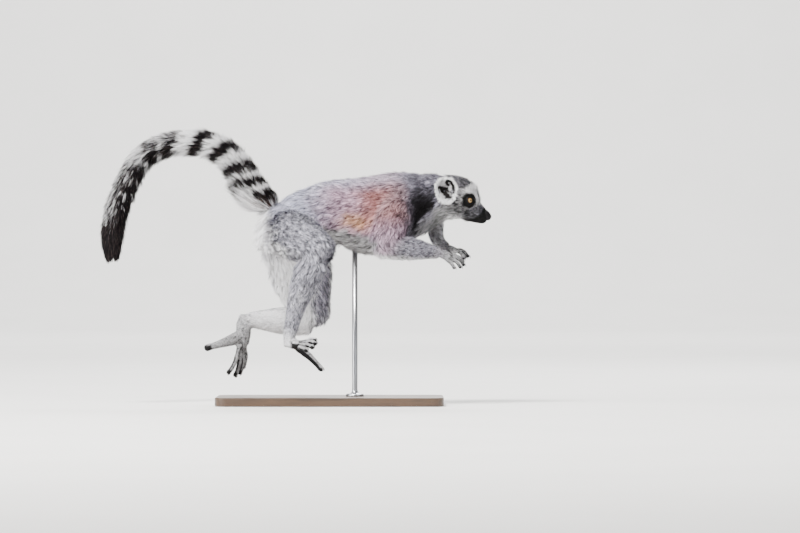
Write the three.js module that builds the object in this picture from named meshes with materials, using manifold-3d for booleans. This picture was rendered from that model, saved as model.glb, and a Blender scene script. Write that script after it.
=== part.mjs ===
// A ring-tailed lemur (Lemur catta) in mid-leap, as a still, life-size model on a plain display stand.
// Millimetres, +Z up, the animal faces +X and its left side is +Y. The origin is the centre of the
// underside of the stand's base. Each body part is a closed solid of its own, and parts that touch
// keep GAP between their faces.
import * as THREE from 'three';
import { mergeVertices } from 'three/addons/utils/BufferGeometryUtils.js';
import Module from 'manifold-3d';

const wasm = await Module();
wasm.setup();

// ---------------------------------------------------------------- driving dimensions

const GAP = 0.3; // between the faces of parts that touch
const UP = new THREE.Vector3(0, 0, 1);
const LEFT = new THREE.Vector3(0, 1, 0);

// Trunk, neck and skull are barrels along X. A row is [x, top, underside, half width].
const TORSO = [
  [-129, 342, 300, 22],
  [-106, 365, 277, 40],
  [-74, 388, 274, 49],
  [-38, 404, 292, 49],
  [0, 415, 306, 46],
  [34, 418, 288, 48],
  [66, 422, 278, 51],
  [98, 428, 280, 53],
  [130, 431, 294, 51],
  [162, 428, 310, 45],
  [192, 424, 330, 37],
];
const NECK = [
  [156, 425, 306, 35],
  [182, 428, 320, 37.5],
  [206, 426, 336, 36],
  [228, 418, 348, 30],
];
const SKULL = [
  [190, 412, 352, 22],
  [203, 421.5, 345, 29],
  [218, 425, 342.5, 33],
  [233, 425, 343, 34],
  [248, 421.5, 345, 31.5],
  [261, 413.5, 350, 25.5],
  [271, 404, 356, 18],
  [280, 392, 362, 11],
];
const MUZZLE = [
  [244, 391, 342, 19],
  [256, 387, 339, 17.5],
  [268, 383, 337, 14.5],
  [279, 375, 335, 12],
  [287.5, 366, 336, 10],
  [293, 357, 341, 7.5],
];
const NOSE_PAD = [
  [285, 364.5, 343, 6.5],
  [291, 360.5, 341.5, 7.5],
  [296, 355.5, 342, 6.5],
  [299.5, 351, 345.5, 4],
];

// The head is turned a little to its right on the neck.
const HEAD_TURN = THREE.MathUtils.degToRad(-10);
const HEAD_PIVOT = new THREE.Vector3(212, 0, 384);

const EYE_RADIUS = 8.2;
const EYE_CENTRE = [259, 19.5, 377.5];
const EYE_AIM = new THREE.Vector3(0.68, 0.73, 0.06).normalize(); // left eye, outward and ahead
const LID_THICKNESS = 1.9;
const LID_OPENING = [7, 6.4]; // half width and half height of the slit's ellipse
const LID_DEPTH = 3.2; // from the front of the eyeball back to the rim of the lids
const SOCKET_RADIUS = 13.5; // the low swelling that the lids rise from
const SOCKET_SINK = 4.8; // how far its middle lies behind the eye's
const BROW_RADII = new THREE.Vector3(14, 12, 11);
const BROW_CENTRE = [258.5, 12.5, 388];

const MOUTH_DEPTH = 2.4;
const MOUTH_WIDTH = 1.7;
const MOUTH_LINE = [ // [x, z] from the corner to the front of the lips
  [247, 349.5],
  [258, 346],
  [270, 343.5],
  [282, 342.2],
  [300, 342.5],
];
const NOSTRIL_RADIUS = 1.9;
const NOSTRIL_CENTRE = [295.5, 5.2, 350.2];

const EAR_HALF_WIDTH = 21;
const EAR_HALF_HEIGHT = 23.5;
const EAR_CUP_DEPTH = 15;
const EAR_WALL = 2.6;
const EAR_RIM_CENTRE = [221, 39, 396.5];
const EAR_AIM = new THREE.Vector3(0.42, 0.88, 0.16).normalize(); // left ear

// Limbs are sweeps. A row is [x, y, z, half depth fore and aft, half width sideways].
const THIGH_RIGHT = [
  [-85, -18, 324, 48, 40],
  [-64, -56, 314, 45, 40],
  [-34, -94, 295, 38, 35],
  [-1, -126, 277, 27, 27],
];
const SHANK_RIGHT = [
  [-18, -117, 277, 24, 24],
  [-36, -110, 246, 30, 27],
  [-52, -101, 208, 23, 22],
  [-63, -93, 172, 16.5, 15],
  [-71, -86, 140, 14, 13.5],
  [-73, -84, 128, 12, 12],
];
const FOOT_RIGHT = [
  [-72, -85, 140, 12, 11],
  [-77, -84, 124, 15, 11.5],
  [-66, -88, 114, 11, 12],
  [-54, -99, 113, 9, 13],
  [-45, -109, 114, 7, 12],
];
const TOES_RIGHT = {
  two: [[-49, -98, 118, 4.6, 4.6], [-31, -110, 123, 3.8, 3.8], [-24, -118, 121, 3.6, 3.8]],
  three: [[-49, -105, 116, 4.8, 4.8], [-31, -122, 118, 4, 4], [-23, -133, 115, 3.8, 4]],
  four: [[-51, -111, 113, 4.8, 4.8], [-37, -130, 112, 4, 4], [-28, -144, 108.5, 3.8, 4]],
  five: [[-55, -114, 109, 4.6, 4.6], [-46, -132, 106, 3.8, 3.8], [-39, -144, 103, 3.6, 3.8]],
};
const BIG_TOE_RIGHT = [
  [-62, -90, 107, 7, 8],
  [-42, -93, 96, 6.4, 7],
  [-26, -96, 81, 5, 5.4],
  [-12, -98, 66, 4.6, 5],
];
const THIGH_LEFT = [
  [-82, 20, 322, 46, 38],
  [-59, 42, 270, 57, 38],
  [-50, 50, 228, 55, 35],
  [-40, 56, 187, 42, 31],
  [-30, 60, 144, 30, 26],
];
const SHANK_LEFT = [
  [-30, 60, 158, 25, 24],
  [-64, 60, 155.5, 28, 25],
  [-100, 59, 155.5, 25, 22],
  [-133, 57, 156.5, 18, 16.5],
  [-158, 56, 158, 14, 13],
];
const FOOT_LEFT = [
  [-158, 56, 168, 10, 11],
  [-161, 55.5, 150, 15, 13],
  [-162, 55, 128, 14, 14],
  [-164, 56, 104, 10.5, 15],
];
const TOES_LEFT = {
  two: [
    [-169, 46, 114, 5, 4.8],
    [-176, 41.5, 82, 4.2, 3.9],
    [-184, 40.5, 66, 4, 3.9],
    [-191, 40, 57, 3.8, 4],
  ],
  three: [
    [-167, 53, 112, 5.2, 4.8],
    [-170, 51, 77, 4.4, 4],
    [-174, 51, 61, 4.2, 4],
    [-178, 51, 51, 4, 4.2],
  ],
  four: [
    [-164, 59, 112, 5.2, 4.8],
    [-163, 61, 79, 4.4, 4],
    [-166, 61.5, 65, 4.2, 4],
    [-170, 62, 55, 4, 4.2],
  ],
  five: [
    [-161, 65, 114, 5, 4.8],
    [-158, 70.5, 88, 4, 3.9],
    [-160, 71.5, 77, 3.8, 3.8],
    [-163, 72, 67, 3.6, 3.8],
  ],
};
const BIG_TOE_LEFT = [
  [-160, 52, 130, 15, 10],
  [-182, 44, 120, 12, 9],
  [-203, 38.5, 113, 7.5, 7],
  [-219, 36, 108, 6, 6.6],
  [-232, 35, 105, 6.4, 6.8],
];
const UPPER_ARM_RIGHT = [
  [134, -30, 374, 36, 27],
  [119, -56, 343, 33, 26],
  [104, -74, 313, 28, 23],
  [92, -84, 288, 24, 21],
];
const FOREARM_RIGHT = [
  [79, -85, 294, 22, 20],
  [122, -72, 291.5, 24.5, 20],
  [163, -55, 287, 20, 17],
  [188, -42, 283, 14, 13],
  [203, -37, 280.5, 11, 12],
];
const HAND_RIGHT = [
  [203, -37, 280, 9, 12],
  [212, -35.5, 277.5, 8.5, 14],
  [222, -34, 273.5, 7, 15],
];
const FINGERS_RIGHT = {
  thumb: [[208, -27, 278, 4.6, 4.6], [219, -16, 272.5, 4, 4], [226, -11, 263, 3.6, 3.8]],
  two: [[215, -27, 278.5, 4.4, 4.6], [236, -23, 275, 4, 4], [247, -21, 263, 3.6, 3.8]],
  three: [[216, -32, 277, 4.4, 4.6], [237, -31.5, 270.5, 4, 4], [248.5, -31, 256.5, 3.6, 3.8]],
  four: [[214, -38, 274.5, 4.4, 4.6], [232, -41, 265.5, 4, 4], [242.5, -42, 252.5, 3.6, 3.8]],
  five: [[210, -44, 272.5, 4.4, 4.6], [223, -49, 262.5, 4, 4], [230.5, -51, 251, 3.6, 3.8]],
};
const UPPER_ARM_LEFT = [
  [142, 30, 371, 34, 26],
  [160, 60, 364, 29, 24],
  [178, 84, 358, 23, 20],
  [194, 103, 352, 19, 18],
];
const FOREARM_LEFT = [
  [194, 108, 358, 17, 17],
  [195, 86, 336, 17, 16],
  [196.5, 66, 318, 15, 14.5],
  [200, 50, 305, 13.5, 13],
  [208, 40, 297, 11.5, 12],
  [218, 33, 291.5, 9, 11],
];
const HAND_LEFT = [
  [219, 33, 290, 8, 12],
  [226, 28, 287, 7.5, 14],
  [234, 24, 285, 6, 14],
];
const FINGERS_LEFT = {
  thumb: [[222, 20, 286.5, 4.4, 4.4], [230, 8, 279.5, 3.8, 3.8], [235, 4, 271.5, 3.4, 3.6]],
  two: [[231, 16, 285, 4.2, 4.4], [242, 14, 281, 3.8, 3.8], [249, 12, 268, 3.4, 3.6]],
  three: [[231, 23, 287, 4.2, 4.4], [246, 23, 286, 3.8, 3.8], [257, 23, 273, 3.4, 3.6]],
  four: [[231, 31, 286.5, 4.2, 4.4], [246, 33, 285.5, 3.8, 3.8], [258, 35, 272.5, 3.4, 3.6]],
  five: [[229, 37, 286, 4.2, 4.4], [243, 43, 282.5, 3.8, 3.8], [253, 46, 271, 3.4, 3.6]],
};

// Tail: the middle of its bone and muscle as [x, y, z], and the lengths of its rings from the root,
// white and black in turn.
const TAIL_PATH = [
  [-102, 0, 358],
  [-125, 0, 384],
  [-147, 3, 412],
  [-166, 7, 442],
  [-192, 11, 468],
  [-230, 14, 484],
  [-268, 16, 486],
  [-305, 16, 480],
  [-338, 13, 464],
  [-362, 8, 437],
  [-378, 3, 405],
  [-390, -1, 373],
  [-398, -3, 341],
  [-403, -4, 309],
  [-403, -4, 272],
];
const TAIL_RINGS = [
  28, 17, 17, 18, 17, 20, 26, 20, 28, 22, 39, 19, 19, 17, 33, 19, 14, 15, 14, 14, 11, 88,
];
const TAIL_HALF_WIDTH = [25, 26.5, 27.5, 27.5, 27, 27, 26.5, 26, 26, 25.5, 25, 22]; // out to the tips
const HAIR_BELOW = [0.65, 0.7, 0.45, 0.2, 0.08, 0, 0, 0, 0, 0, 0, 0]; // how much further out below
const TAIL_CORE = 0.5; // radius of the dense core, as a share of the way out to the tips
const TAIL_CORE_SIDES = 6;
const CORE_STEP = 22;
const CORE_POINT = 12; // length of the cone that closes the core
const TAIL_SKEW = [0, 2, 6, 12, 14, 14, 11, 5, 1, 0, 0, 0]; // the hair below lies further along
const TIP_TAPER = 468; // where along the tail its hair starts to close to the tip
const TIP_END = 516;
const LOCK_REACH = [18, 21, 24, 26, 26, 26, 26, 26, 26, 26, 26, 26]; // along the tail, root to tip
const LOCK_LEAD = 0.7; // how far a ring's colour shows beyond its roots, as a share of that reach
const LOCKS_AROUND = 6;
const LOCK_SHARE = 0.9; // of its part of the way round that a lock's root fills
const LOCK_STEPS = 3;
const LOCK_VARIES = 0.24; // spread of the reach, as a share
const LOCK_TWIST = 0.16; // spread of the tip's turn round the tail, in radians
const LOCK_THICKNESS = 3;
const LOCK_SINK = 2.5; // how deep a root sits in the core
const LOCK_CLEAR = 8; // along the tail, a root's distance from the next ring
const TIER_PITCH = 16;

const BASE = { length: 420, width: 210, thickness: 16, corner: 24, edge: 2 };
const ROD = { x: 46, y: 0, radius: 5, inside: 16, sides: 14 };
const ROD_FLANGE = { radius: 17, thickness: 5 };

const COLOUR = {
  back: 0x9b9299,
  pale: 0xd9d6d4,
  limb: 0xbcb8b8,
  dark: 0x17151a,
  leather: 0x1c191b,
  tailWhite: 0xe3e0df,
  amber: 0xc98a1e,
  base: 0x3a2a20,
  steel: 0x9fa2a6,
};

// ---------------------------------------------------------------- solids from rings of points

// A closed solid from vertices and triangles, turned right side out.
function solidFrom(points, triangles) {
  const position = new Float32Array(points.flatMap((p) => [p.x, p.y, p.z]));
  let geometry = new THREE.BufferGeometry();
  geometry.setAttribute('position', new THREE.BufferAttribute(position, 3));
  geometry.setIndex(triangles.flat());
  geometry = mergeVertices(geometry, 1e-4);
  let volume = 0;
  for (const [a, b, c] of triangles) {
    volume += points[a].dot(points[b].clone().cross(points[c]));
  }
  const index = Array.from(geometry.index.array);
  if (volume < 0) index.reverse();
  return new wasm.Manifold(
    new wasm.Mesh({
      numProp: 3,
      vertProperties: geometry.attributes.position.array,
      triVerts: new Uint32Array(index),
    }),
  );
}

// Joins rings of equal count into one skin, with a fan from a point at each end.
function loft(rings, startPoint, endPoint) {
  const sides = rings[0].length;
  const points = [startPoint, ...rings.flat(), endPoint];
  const end = points.length - 1;
  const at = (ring, side) => 1 + ring * sides + (side % sides);
  const triangles = [];
  for (let side = 0; side < sides; side += 1) {
    triangles.push([0, at(0, side + 1), at(0, side)]);
    for (let ring = 0; ring + 1 < rings.length; ring += 1) {
      const [a, b] = [at(ring, side), at(ring, side + 1)];
      const [c, d] = [at(ring + 1, side), at(ring + 1, side + 1)];
      triangles.push([a, b, d], [a, d, c]);
    }
    triangles.push([end, at(rings.length - 1, side), at(rings.length - 1, side + 1)]);
  }
  return solidFrom(points, triangles);
}

// One row between the rows of a table, on a smooth curve through them.
function rowAt(rows, place) {
  const last = rows.length - 1;
  const first = THREE.MathUtils.clamp(Math.floor(place), 0, last - 1);
  const f = place - first;
  const pick = (k) => rows[THREE.MathUtils.clamp(k, 0, last)];
  const [a, b, c, d] = [pick(first - 1), pick(first), pick(first + 1), pick(first + 2)];
  return b.map((from, n) => {
    const slopeIn = (c[n] - a[n]) / 2;
    const slopeOut = (d[n] - from) / 2;
    const rise = c[n] - from;
    const bend = 3 * rise - 2 * slopeIn - slopeOut;
    return from + f * (slopeIn + f * (bend + f * (slopeIn + slopeOut - 2 * rise)));
  });
}

// Places along a table, closer together in its rounded ends, each with the ends' share of full size.
function roundedPlaces(last, steps, round, endSteps = 2) {
  const places = [];
  for (let k = 1; k <= endSteps; k += 1) {
    const angle = (k / endSteps) * (Math.PI / 2);
    places.push([round[0] * (1 - Math.cos(angle)), Math.sin(angle)]);
  }
  const span = last - round[0] - round[1];
  for (let k = 1; k < steps; k += 1) places.push([round[0] + (span * k) / steps, 1]);
  for (let k = endSteps; k >= 1; k -= 1) {
    const angle = (k / endSteps) * (Math.PI / 2);
    places.push([last - round[1] * (1 - Math.cos(angle)), Math.sin(angle)]);
  }
  return places;
}

// Points round an oval section. Power 2 is an ellipse, more is squarer.
function section(centre, side, up, wide, high, sides, power = 2) {
  const ring = [];
  for (let k = 0; k < sides; k += 1) {
    const angle = ((k + 0.5) / sides) * 2 * Math.PI;
    const [c, s] = [Math.cos(angle), Math.sin(angle)];
    const across = Math.sign(c) * Math.abs(c) ** (2 / power) * wide;
    const along = Math.sign(s) * Math.abs(s) ** (2 / power) * high;
    ring.push(centre.clone().addScaledVector(side, across).addScaledVector(up, along));
  }
  return ring;
}

// A barrel along X from rows of [x, top, underside, half width].
function barrel(rows, options) {
  const { sides, steps, round, endSteps = 3, grow = 0, power = 2 } = options;
  const last = rows.length - 1;
  const middle = (row) => new THREE.Vector3(row[0], 0, (row[1] + row[2]) / 2);
  const rings = roundedPlaces(last, steps, round, endSteps).map(([place, share]) => {
    const row = rowAt(rows, place);
    const high = Math.max(((row[1] - row[2]) / 2) * share + grow, GAP);
    return section(middle(row), LEFT, UP, Math.max(row[3] * share + grow, GAP), high, sides, power);
  });
  const start = middle(rows[0]).setX(rows[0][0] - grow);
  const end = middle(rows[last]).setX(rows[last][0] + grow);
  return loft(rings, start, end);
}

// A sweep through rows of [x, y, z, half depth, half width], with sections square to its line.
function sweep(rows, { sides = 12, steps = 6, round = [0.4, 0.4], grow = 0 } = {}) {
  const last = rows.length - 1;
  const centre = (place) => new THREE.Vector3(...rowAt(rows, place));
  const tangent = (place) => {
    const before = Math.max(place - 0.05, 0);
    const after = Math.min(place + 0.05, last);
    return centre(after).sub(centre(before)).normalize();
  };
  const rings = roundedPlaces(last, steps, round).map(([place, share]) => {
    const row = rowAt(rows, place);
    const along = tangent(place);
    const side = LEFT.clone().addScaledVector(along, -LEFT.dot(along)).normalize();
    const fore = side.clone().cross(along);
    return section(centre(place), side, fore, row[4] * share + grow, row[3] * share + grow, sides);
  });
  const start = centre(0).addScaledVector(tangent(0), -grow);
  const end = centre(last).addScaledVector(tangent(last), grow);
  return loft(rings, start, end);
}

function ellipsoid(centre, radii, sides, tiers) {
  const fore = new THREE.Vector3(1, 0, 0);
  const rings = [];
  for (let k = 1; k < tiers; k += 1) {
    const angle = (k / tiers) * Math.PI;
    const level = centre.clone().addScaledVector(UP, -Math.cos(angle) * radii.z);
    const share = Math.sin(angle);
    rings.push(section(level, LEFT, fore, radii.y * share, radii.x * share, sides));
  }
  const down = centre.clone().addScaledVector(UP, -radii.z);
  return loft(rings, down, centre.clone().addScaledVector(UP, radii.z));
}

function ball(centre, radius) {
  return ellipsoid(centre, new THREE.Vector3(radius, radius, radius), 14, 7);
}

// A straight round bar between two points.
function bar(from, to, radius, sides, farRadius = radius) {
  const along = to.clone().sub(from).normalize();
  const reference = Math.abs(along.z) > 0.9 ? LEFT : UP;
  const side = reference.clone().cross(along).normalize();
  const up = along.clone().cross(side);
  const near = section(from, side, up, radius, radius, sides);
  const far = section(to, side, up, farRadius, farRadius, sides);
  return loft([near, far], from.clone(), to.clone());
}

const union = (pieces) => pieces.reduce((whole, piece) => whole.add(piece));
const cut = (solid, tools) => tools.reduce((left, tool) => left.subtract(tool), solid);

// Only the largest closed surface of a solid, without the slivers that a cut can leave.
function largest(solid) {
  const pieces = solid.simplify(0.05).decompose();
  return pieces.reduce((best, piece) => (piece.volume() > best.volume() ? piece : best));
}

const mirrored = (triple, hand) => new THREE.Vector3(triple[0], triple[1] * hand, triple[2]);
const HANDS = { left: 1, right: -1 };

// ---------------------------------------------------------------- trunk and neck

const TORSO_SHAPE = { sides: 20, steps: 16, round: [0.9, 0.7], power: 2.15 };
const NECK_SHAPE = { sides: 18, steps: 4, round: [0.5, 0.5] };
const torsoForm = (grow = 0) => barrel(TORSO, { ...TORSO_SHAPE, grow });
const neckForm = (grow = 0) => barrel(NECK, { ...NECK_SHAPE, grow });

function rodHole() {
  const foot = new THREE.Vector3(ROD.x, ROD.y, BASE.thickness);
  return bar(foot, rodTop().addScaledVector(UP, GAP), ROD.radius + GAP, ROD.sides);
}

function rodTop() {
  const place = TORSO.findIndex((row) => row[0] > ROD.x);
  const [before, after] = [TORSO[place - 1], TORSO[place]];
  const share = (ROD.x - before[0]) / (after[0] - before[0]);
  const underside = THREE.MathUtils.lerp(before[2], after[2], share);
  return new THREE.Vector3(ROD.x, ROD.y, underside + ROD.inside);
}

// ---------------------------------------------------------------- head

// The head's own frame, before it turns on the neck.
function turned(solid) {
  const matrix = new THREE.Matrix4()
    .makeTranslation(HEAD_PIVOT.x, HEAD_PIVOT.y, HEAD_PIVOT.z)
    .multiply(new THREE.Matrix4().makeRotationZ(HEAD_TURN))
    .multiply(new THREE.Matrix4().makeTranslation(-HEAD_PIVOT.x, -HEAD_PIVOT.y, -HEAD_PIVOT.z));
  return solid.transform(matrix.elements);
}

const SKULL_SHAPE = { sides: 18, steps: 10, round: [0.9, 1.2] };
const MUZZLE_SHAPE = { sides: 14, steps: 6, round: [0.3, 0.8], endSteps: 2 };
const NOSE_SHAPE = { sides: 12, steps: 3, round: [0.4, 1], endSteps: 2, power: 2.3 };
const skullForm = (grow = 0) => barrel(SKULL, { ...SKULL_SHAPE, grow });
const muzzleForm = (grow = 0) => barrel(MUZZLE, { ...MUZZLE_SHAPE, grow });
const noseForm = (grow = 0) => barrel(NOSE_PAD, { ...NOSE_SHAPE, grow });

// A sheet one groove wide along the line of the lips, left whole inside the muzzle.
function mouthGroove() {
  const rings = MOUTH_LINE.map(([x, z]) => section(
    new THREE.Vector3(x, 0, z), LEFT, UP, 40, MOUTH_WIDTH / 2, 4, 8,
  ));
  const sheet = loft(rings, new THREE.Vector3(MOUTH_LINE[0][0], 0, MOUTH_LINE[0][1]),
    new THREE.Vector3(MOUTH_LINE.at(-1)[0], 0, MOUTH_LINE.at(-1)[1]));
  return cut(sheet, [muzzleForm(-MOUTH_DEPTH), skullForm(-MOUTH_DEPTH)]);
}

function eyeParts(hand) {
  const centre = mirrored(EYE_CENTRE, hand);
  const aim = new THREE.Vector3(EYE_AIM.x, EYE_AIM.y * hand, EYE_AIM.z);
  const side = UP.clone().cross(aim).normalize();
  const up = aim.clone().cross(side);
  const [wide, high] = LID_OPENING;
  const rim = centre.clone().addScaledVector(aim, EYE_RADIUS - LID_DEPTH);
  const front = centre.clone().addScaledVector(aim, EYE_RADIUS + LID_THICKNESS + 3);
  const opening = loft(
    [section(rim, side, up, wide, high, 12), section(front, side, up, wide * 1.25, high * 1.25, 12)],
    rim,
    front,
  );
  return { centre, opening };
}

// The brow, the socket's swelling and the lids on one side of the face.
function eyeRegion(hand) {
  const centre = mirrored(EYE_CENTRE, hand);
  const aim = new THREE.Vector3(EYE_AIM.x, EYE_AIM.y * hand, EYE_AIM.z);
  return union([
    ball(centre, EYE_RADIUS + LID_THICKNESS),
    ball(centre.addScaledVector(aim, -SOCKET_SINK), SOCKET_RADIUS),
    ellipsoid(mirrored(BROW_CENTRE, hand), BROW_RADII, 12, 6),
  ]);
}

function headForm() {
  return union([skullForm(), muzzleForm(), ...Object.values(HANDS).map(eyeRegion)]);
}

function makeHead() {
  const tools = [mouthGroove(), noseForm(GAP)];
  for (const hand of Object.values(HANDS)) {
    const { centre, opening } = eyeParts(hand);
    tools.push(ball(centre, EYE_RADIUS + GAP), opening);
  }
  return cut(headForm(), tools);
}

function makeNose() {
  const nostrils = Object.values(HANDS).map((hand) => {
    const centre = mirrored(NOSTRIL_CENTRE, hand);
    const back = centre.clone().add(new THREE.Vector3(-3, -2.4 * hand, 0.6));
    const front = centre.clone().add(new THREE.Vector3(4, 3.6 * hand, -0.4));
    return bar(back, front, NOSTRIL_RADIUS * 0.6, 8, NOSTRIL_RADIUS);
  });
  return cut(noseForm(), nostrils);
}

// A bowl of even wall, lying along the ear's aim.
function makeEar(hand) {
  const aim = new THREE.Vector3(EAR_AIM.x, EAR_AIM.y * hand, EAR_AIM.z);
  const side = UP.clone().cross(aim).normalize();
  const up = aim.clone().cross(side);
  const rim = mirrored(EAR_RIM_CENTRE, hand);
  const rings = [];
  const levels = 4;
  const ringAt = (share, wall) => {
    const angle = share * (Math.PI / 2);
    const shrink = Math.cos(angle);
    const depth = Math.sin(angle) * (EAR_CUP_DEPTH - wall);
    const centre = rim.clone().addScaledVector(aim, -depth);
    const [wide, high] = [(EAR_HALF_WIDTH - wall) * shrink, (EAR_HALF_HEIGHT - wall) * shrink];
    return section(centre, side, up, wide, high, 16);
  };
  for (let k = levels - 1; k >= 0; k -= 1) rings.push(ringAt(k / levels, 0));
  for (let k = 0; k < levels; k += 1) rings.push(ringAt(k / levels, EAR_WALL));
  const outside = rim.clone().addScaledVector(aim, -EAR_CUP_DEPTH);
  const inside = rim.clone().addScaledVector(aim, EAR_WALL - EAR_CUP_DEPTH);
  return cut(loft(rings, outside, inside), [skullForm(GAP)]);
}

// ---------------------------------------------------------------- tail

const tailPoints = TAIL_PATH.map((p) => new THREE.Vector3(...p));
const tailCurve = new THREE.CatmullRomCurve3(tailPoints, false, 'centripetal');
tailCurve.arcLengthDivisions = 400;
const tailLength = TAIL_RINGS.reduce((sum, ring) => sum + ring);

const tableAt = (table, s) => {
  const place = THREE.MathUtils.clamp(s / tailLength, 0, 1) * (table.length - 1);
  return rowAt(table.map((value) => [value]), place)[0];
};
const tipTaper = (s) => {
  const f = THREE.MathUtils.clamp((s - TIP_TAPER) / (TIP_END - TIP_TAPER), 0, 0.98);
  return Math.sqrt(1 - f * f);
};
const tailRadius = (s) => tableAt(TAIL_HALF_WIDTH, s) * tipTaper(s);
const coreRadius = (s) => TAIL_CORE * tailRadius(s);
const lockReach = (s) => tableAt(LOCK_REACH, s);
const rootOf = (shownAt) => shownAt - LOCK_LEAD * lockReach(shownAt);

// The point at distance s along the tail, r out from its middle, on the side that angle names:
// 0 is the outer, upper side of the arch.
function onTail(s, r, angle) {
  const slid = s - tableAt(TAIL_SKEW, s) * Math.cos(angle) * (r / tailRadius(s));
  const u = THREE.MathUtils.clamp(slid / tailCurve.getLength(), 0, 1);
  const along = tailCurve.getTangentAt(u);
  const beyond = slid - u * tailCurve.getLength();
  const side = LEFT.clone().addScaledVector(along, -LEFT.dot(along)).normalize();
  const outer = side.clone().cross(along);
  const below = (1 - Math.cos(angle)) / 2;
  const out = r * (1 + tableAt(HAIR_BELOW, s) * below ** 2);
  return tailCurve.getPointAt(u)
    .addScaledVector(along, beyond)
    .addScaledVector(outer, Math.cos(angle) * out)
    .addScaledVector(side, Math.sin(angle) * out);
}

function tailCore(start, end, pointed) {
  const rings = [];
  const steps = Math.max(1, Math.round((end - start) / CORE_STEP));
  for (let k = 0; k <= steps; k += 1) {
    const s = THREE.MathUtils.lerp(start, end, k / steps);
    const ring = [];
    for (let n = 0; n < TAIL_CORE_SIDES; n += 1) {
      ring.push(onTail(s, coreRadius(s), (n / TAIL_CORE_SIDES) * 2 * Math.PI));
    }
    rings.push(ring);
  }
  return loft(rings, onTail(start, 0, 0), onTail(end + (pointed ? CORE_POINT : 0), 0, 0));
}

// One flat, tapered lock: a triangular section that leaves the core and bends along the tail.
function tailLock(rootAt, angle, random) {
  const reach = lockReach(rootAt) * (1 + LOCK_VARIES * (random() - 0.5));
  const twist = LOCK_TWIST * (random() - 0.5);
  const deep = coreRadius(rootAt) - LOCK_SINK;
  const outAt = (f) => deep + (tailRadius(rootAt + reach * f) - deep) * f * (1.5 - 0.5 * f);
  const rings = [];
  for (let k = 0; k < LOCK_STEPS; k += 1) {
    const f = k / LOCK_STEPS;
    const s = rootAt + reach * f;
    const halfAngle = (LOCK_SHARE * Math.PI * (1 - f ** 2)) / LOCKS_AROUND;
    const middle = angle + twist * f;
    const thickness = LOCK_THICKNESS * (1 - 0.6 * f);
    rings.push([
      onTail(s, outAt(f) - thickness * 0.25, middle - halfAngle),
      onTail(s, outAt(f) + thickness * 0.75, middle),
      onTail(s, outAt(f) - thickness * 0.25, middle + halfAngle),
    ]);
  }
  const root = onTail(rootAt, deep, angle);
  return loft(rings, root, onTail(rootAt + reach, outAt(1), angle + twist));
}

// A seeded source of random numbers from 0 to 1.
function randomSource(seed) {
  let state = seed;
  return () => {
    state = (state * 1664525 + 1013904223) % 4294967296;
    return state / 4294967296;
  };
}

function makeTailRing(start, end, number, last) {
  const random = randomSource(40 + number);
  const pieces = [tailCore(start + (number > 1 ? GAP : 0), end, last)];
  const tiers = Math.max(1, Math.round((end - start) / TIER_PITCH));
  const pitch = (end - start - LOCK_CLEAR - 1) / Math.max(1, tiers - 1);
  for (let tier = 0; tier < tiers; tier += 1) {
    const offset = ((tier + number) % 2) * 0.5 + (random() - 0.5) * 0.1;
    for (let n = 0; n < LOCKS_AROUND; n += 1) {
      const angle = ((n + offset) / LOCKS_AROUND) * 2 * Math.PI;
      pieces.push(tailLock(start + 1 + pitch * tier, angle, random));
    }
  }
  return union(pieces);
}

// ---------------------------------------------------------------- the scene graph

const lemur = new THREE.Group();
lemur.name = 'ring_tailed_lemur';

function finish(color, roughness = 0.9, metalness = 0) {
  return new THREE.MeshStandardMaterial({ color, roughness, metalness });
}

function addNode(name, solid, material) {
  const { vertProperties, triVerts } = largest(solid).getMesh();
  const geometry = new THREE.BufferGeometry();
  geometry.setAttribute('position', new THREE.BufferAttribute(new Float32Array(vertProperties), 3));
  geometry.setIndex(Array.from(triVerts));
  geometry.computeVertexNormals();
  const mesh = new THREE.Mesh(geometry, material);
  mesh.name = name;
  lemur.add(mesh);
}

const digits = (table, grow = 0) => Object.values(table).map((rows) => sweep(rows, {
  sides: 6, steps: 3, round: [0.2, 0.35], grow,
}));

// Trunk and neck
addNode('torso', cut(torsoForm(), [rodHole()]), finish(COLOUR.back));
addNode('neck', cut(neckForm(), [torsoForm(GAP)]), finish(COLOUR.back));

// Head
const neckAndTorso = [torsoForm(GAP), neckForm(GAP)];
addNode('head', cut(turned(makeHead()), neckAndTorso), finish(COLOUR.pale));
addNode('nose', turned(makeNose()), finish(COLOUR.leather, 0.45));
for (const [name, hand] of Object.entries(HANDS)) {
  addNode(`eye_${name}`, turned(ball(mirrored(EYE_CENTRE, hand), EYE_RADIUS)), finish(COLOUR.amber, 0.15));
  addNode(`ear_${name}`, cut(turned(makeEar(hand)), neckAndTorso), finish(COLOUR.pale));
}

// Limbs, each part cut clear of the one that it grows from
function addLimb(name, parts) {
  const before = [torsoForm(GAP)];
  for (const { node, form, material } of parts) {
    addNode(`${node}_${name}`, cut(form(0), before), material);
    before.push(form(GAP));
  }
}

const limbForm = (rows, options = {}) => (grow) => sweep(rows, { ...options, grow });
const pawForm = (rows, table) => (grow) => union([
  sweep(rows, { sides: 10, steps: 3, round: [0.3, 0.5], grow }),
  ...digits(table, grow),
]);
const limbFinish = finish(COLOUR.limb);
const pawFinish = finish(COLOUR.pale);

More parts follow.
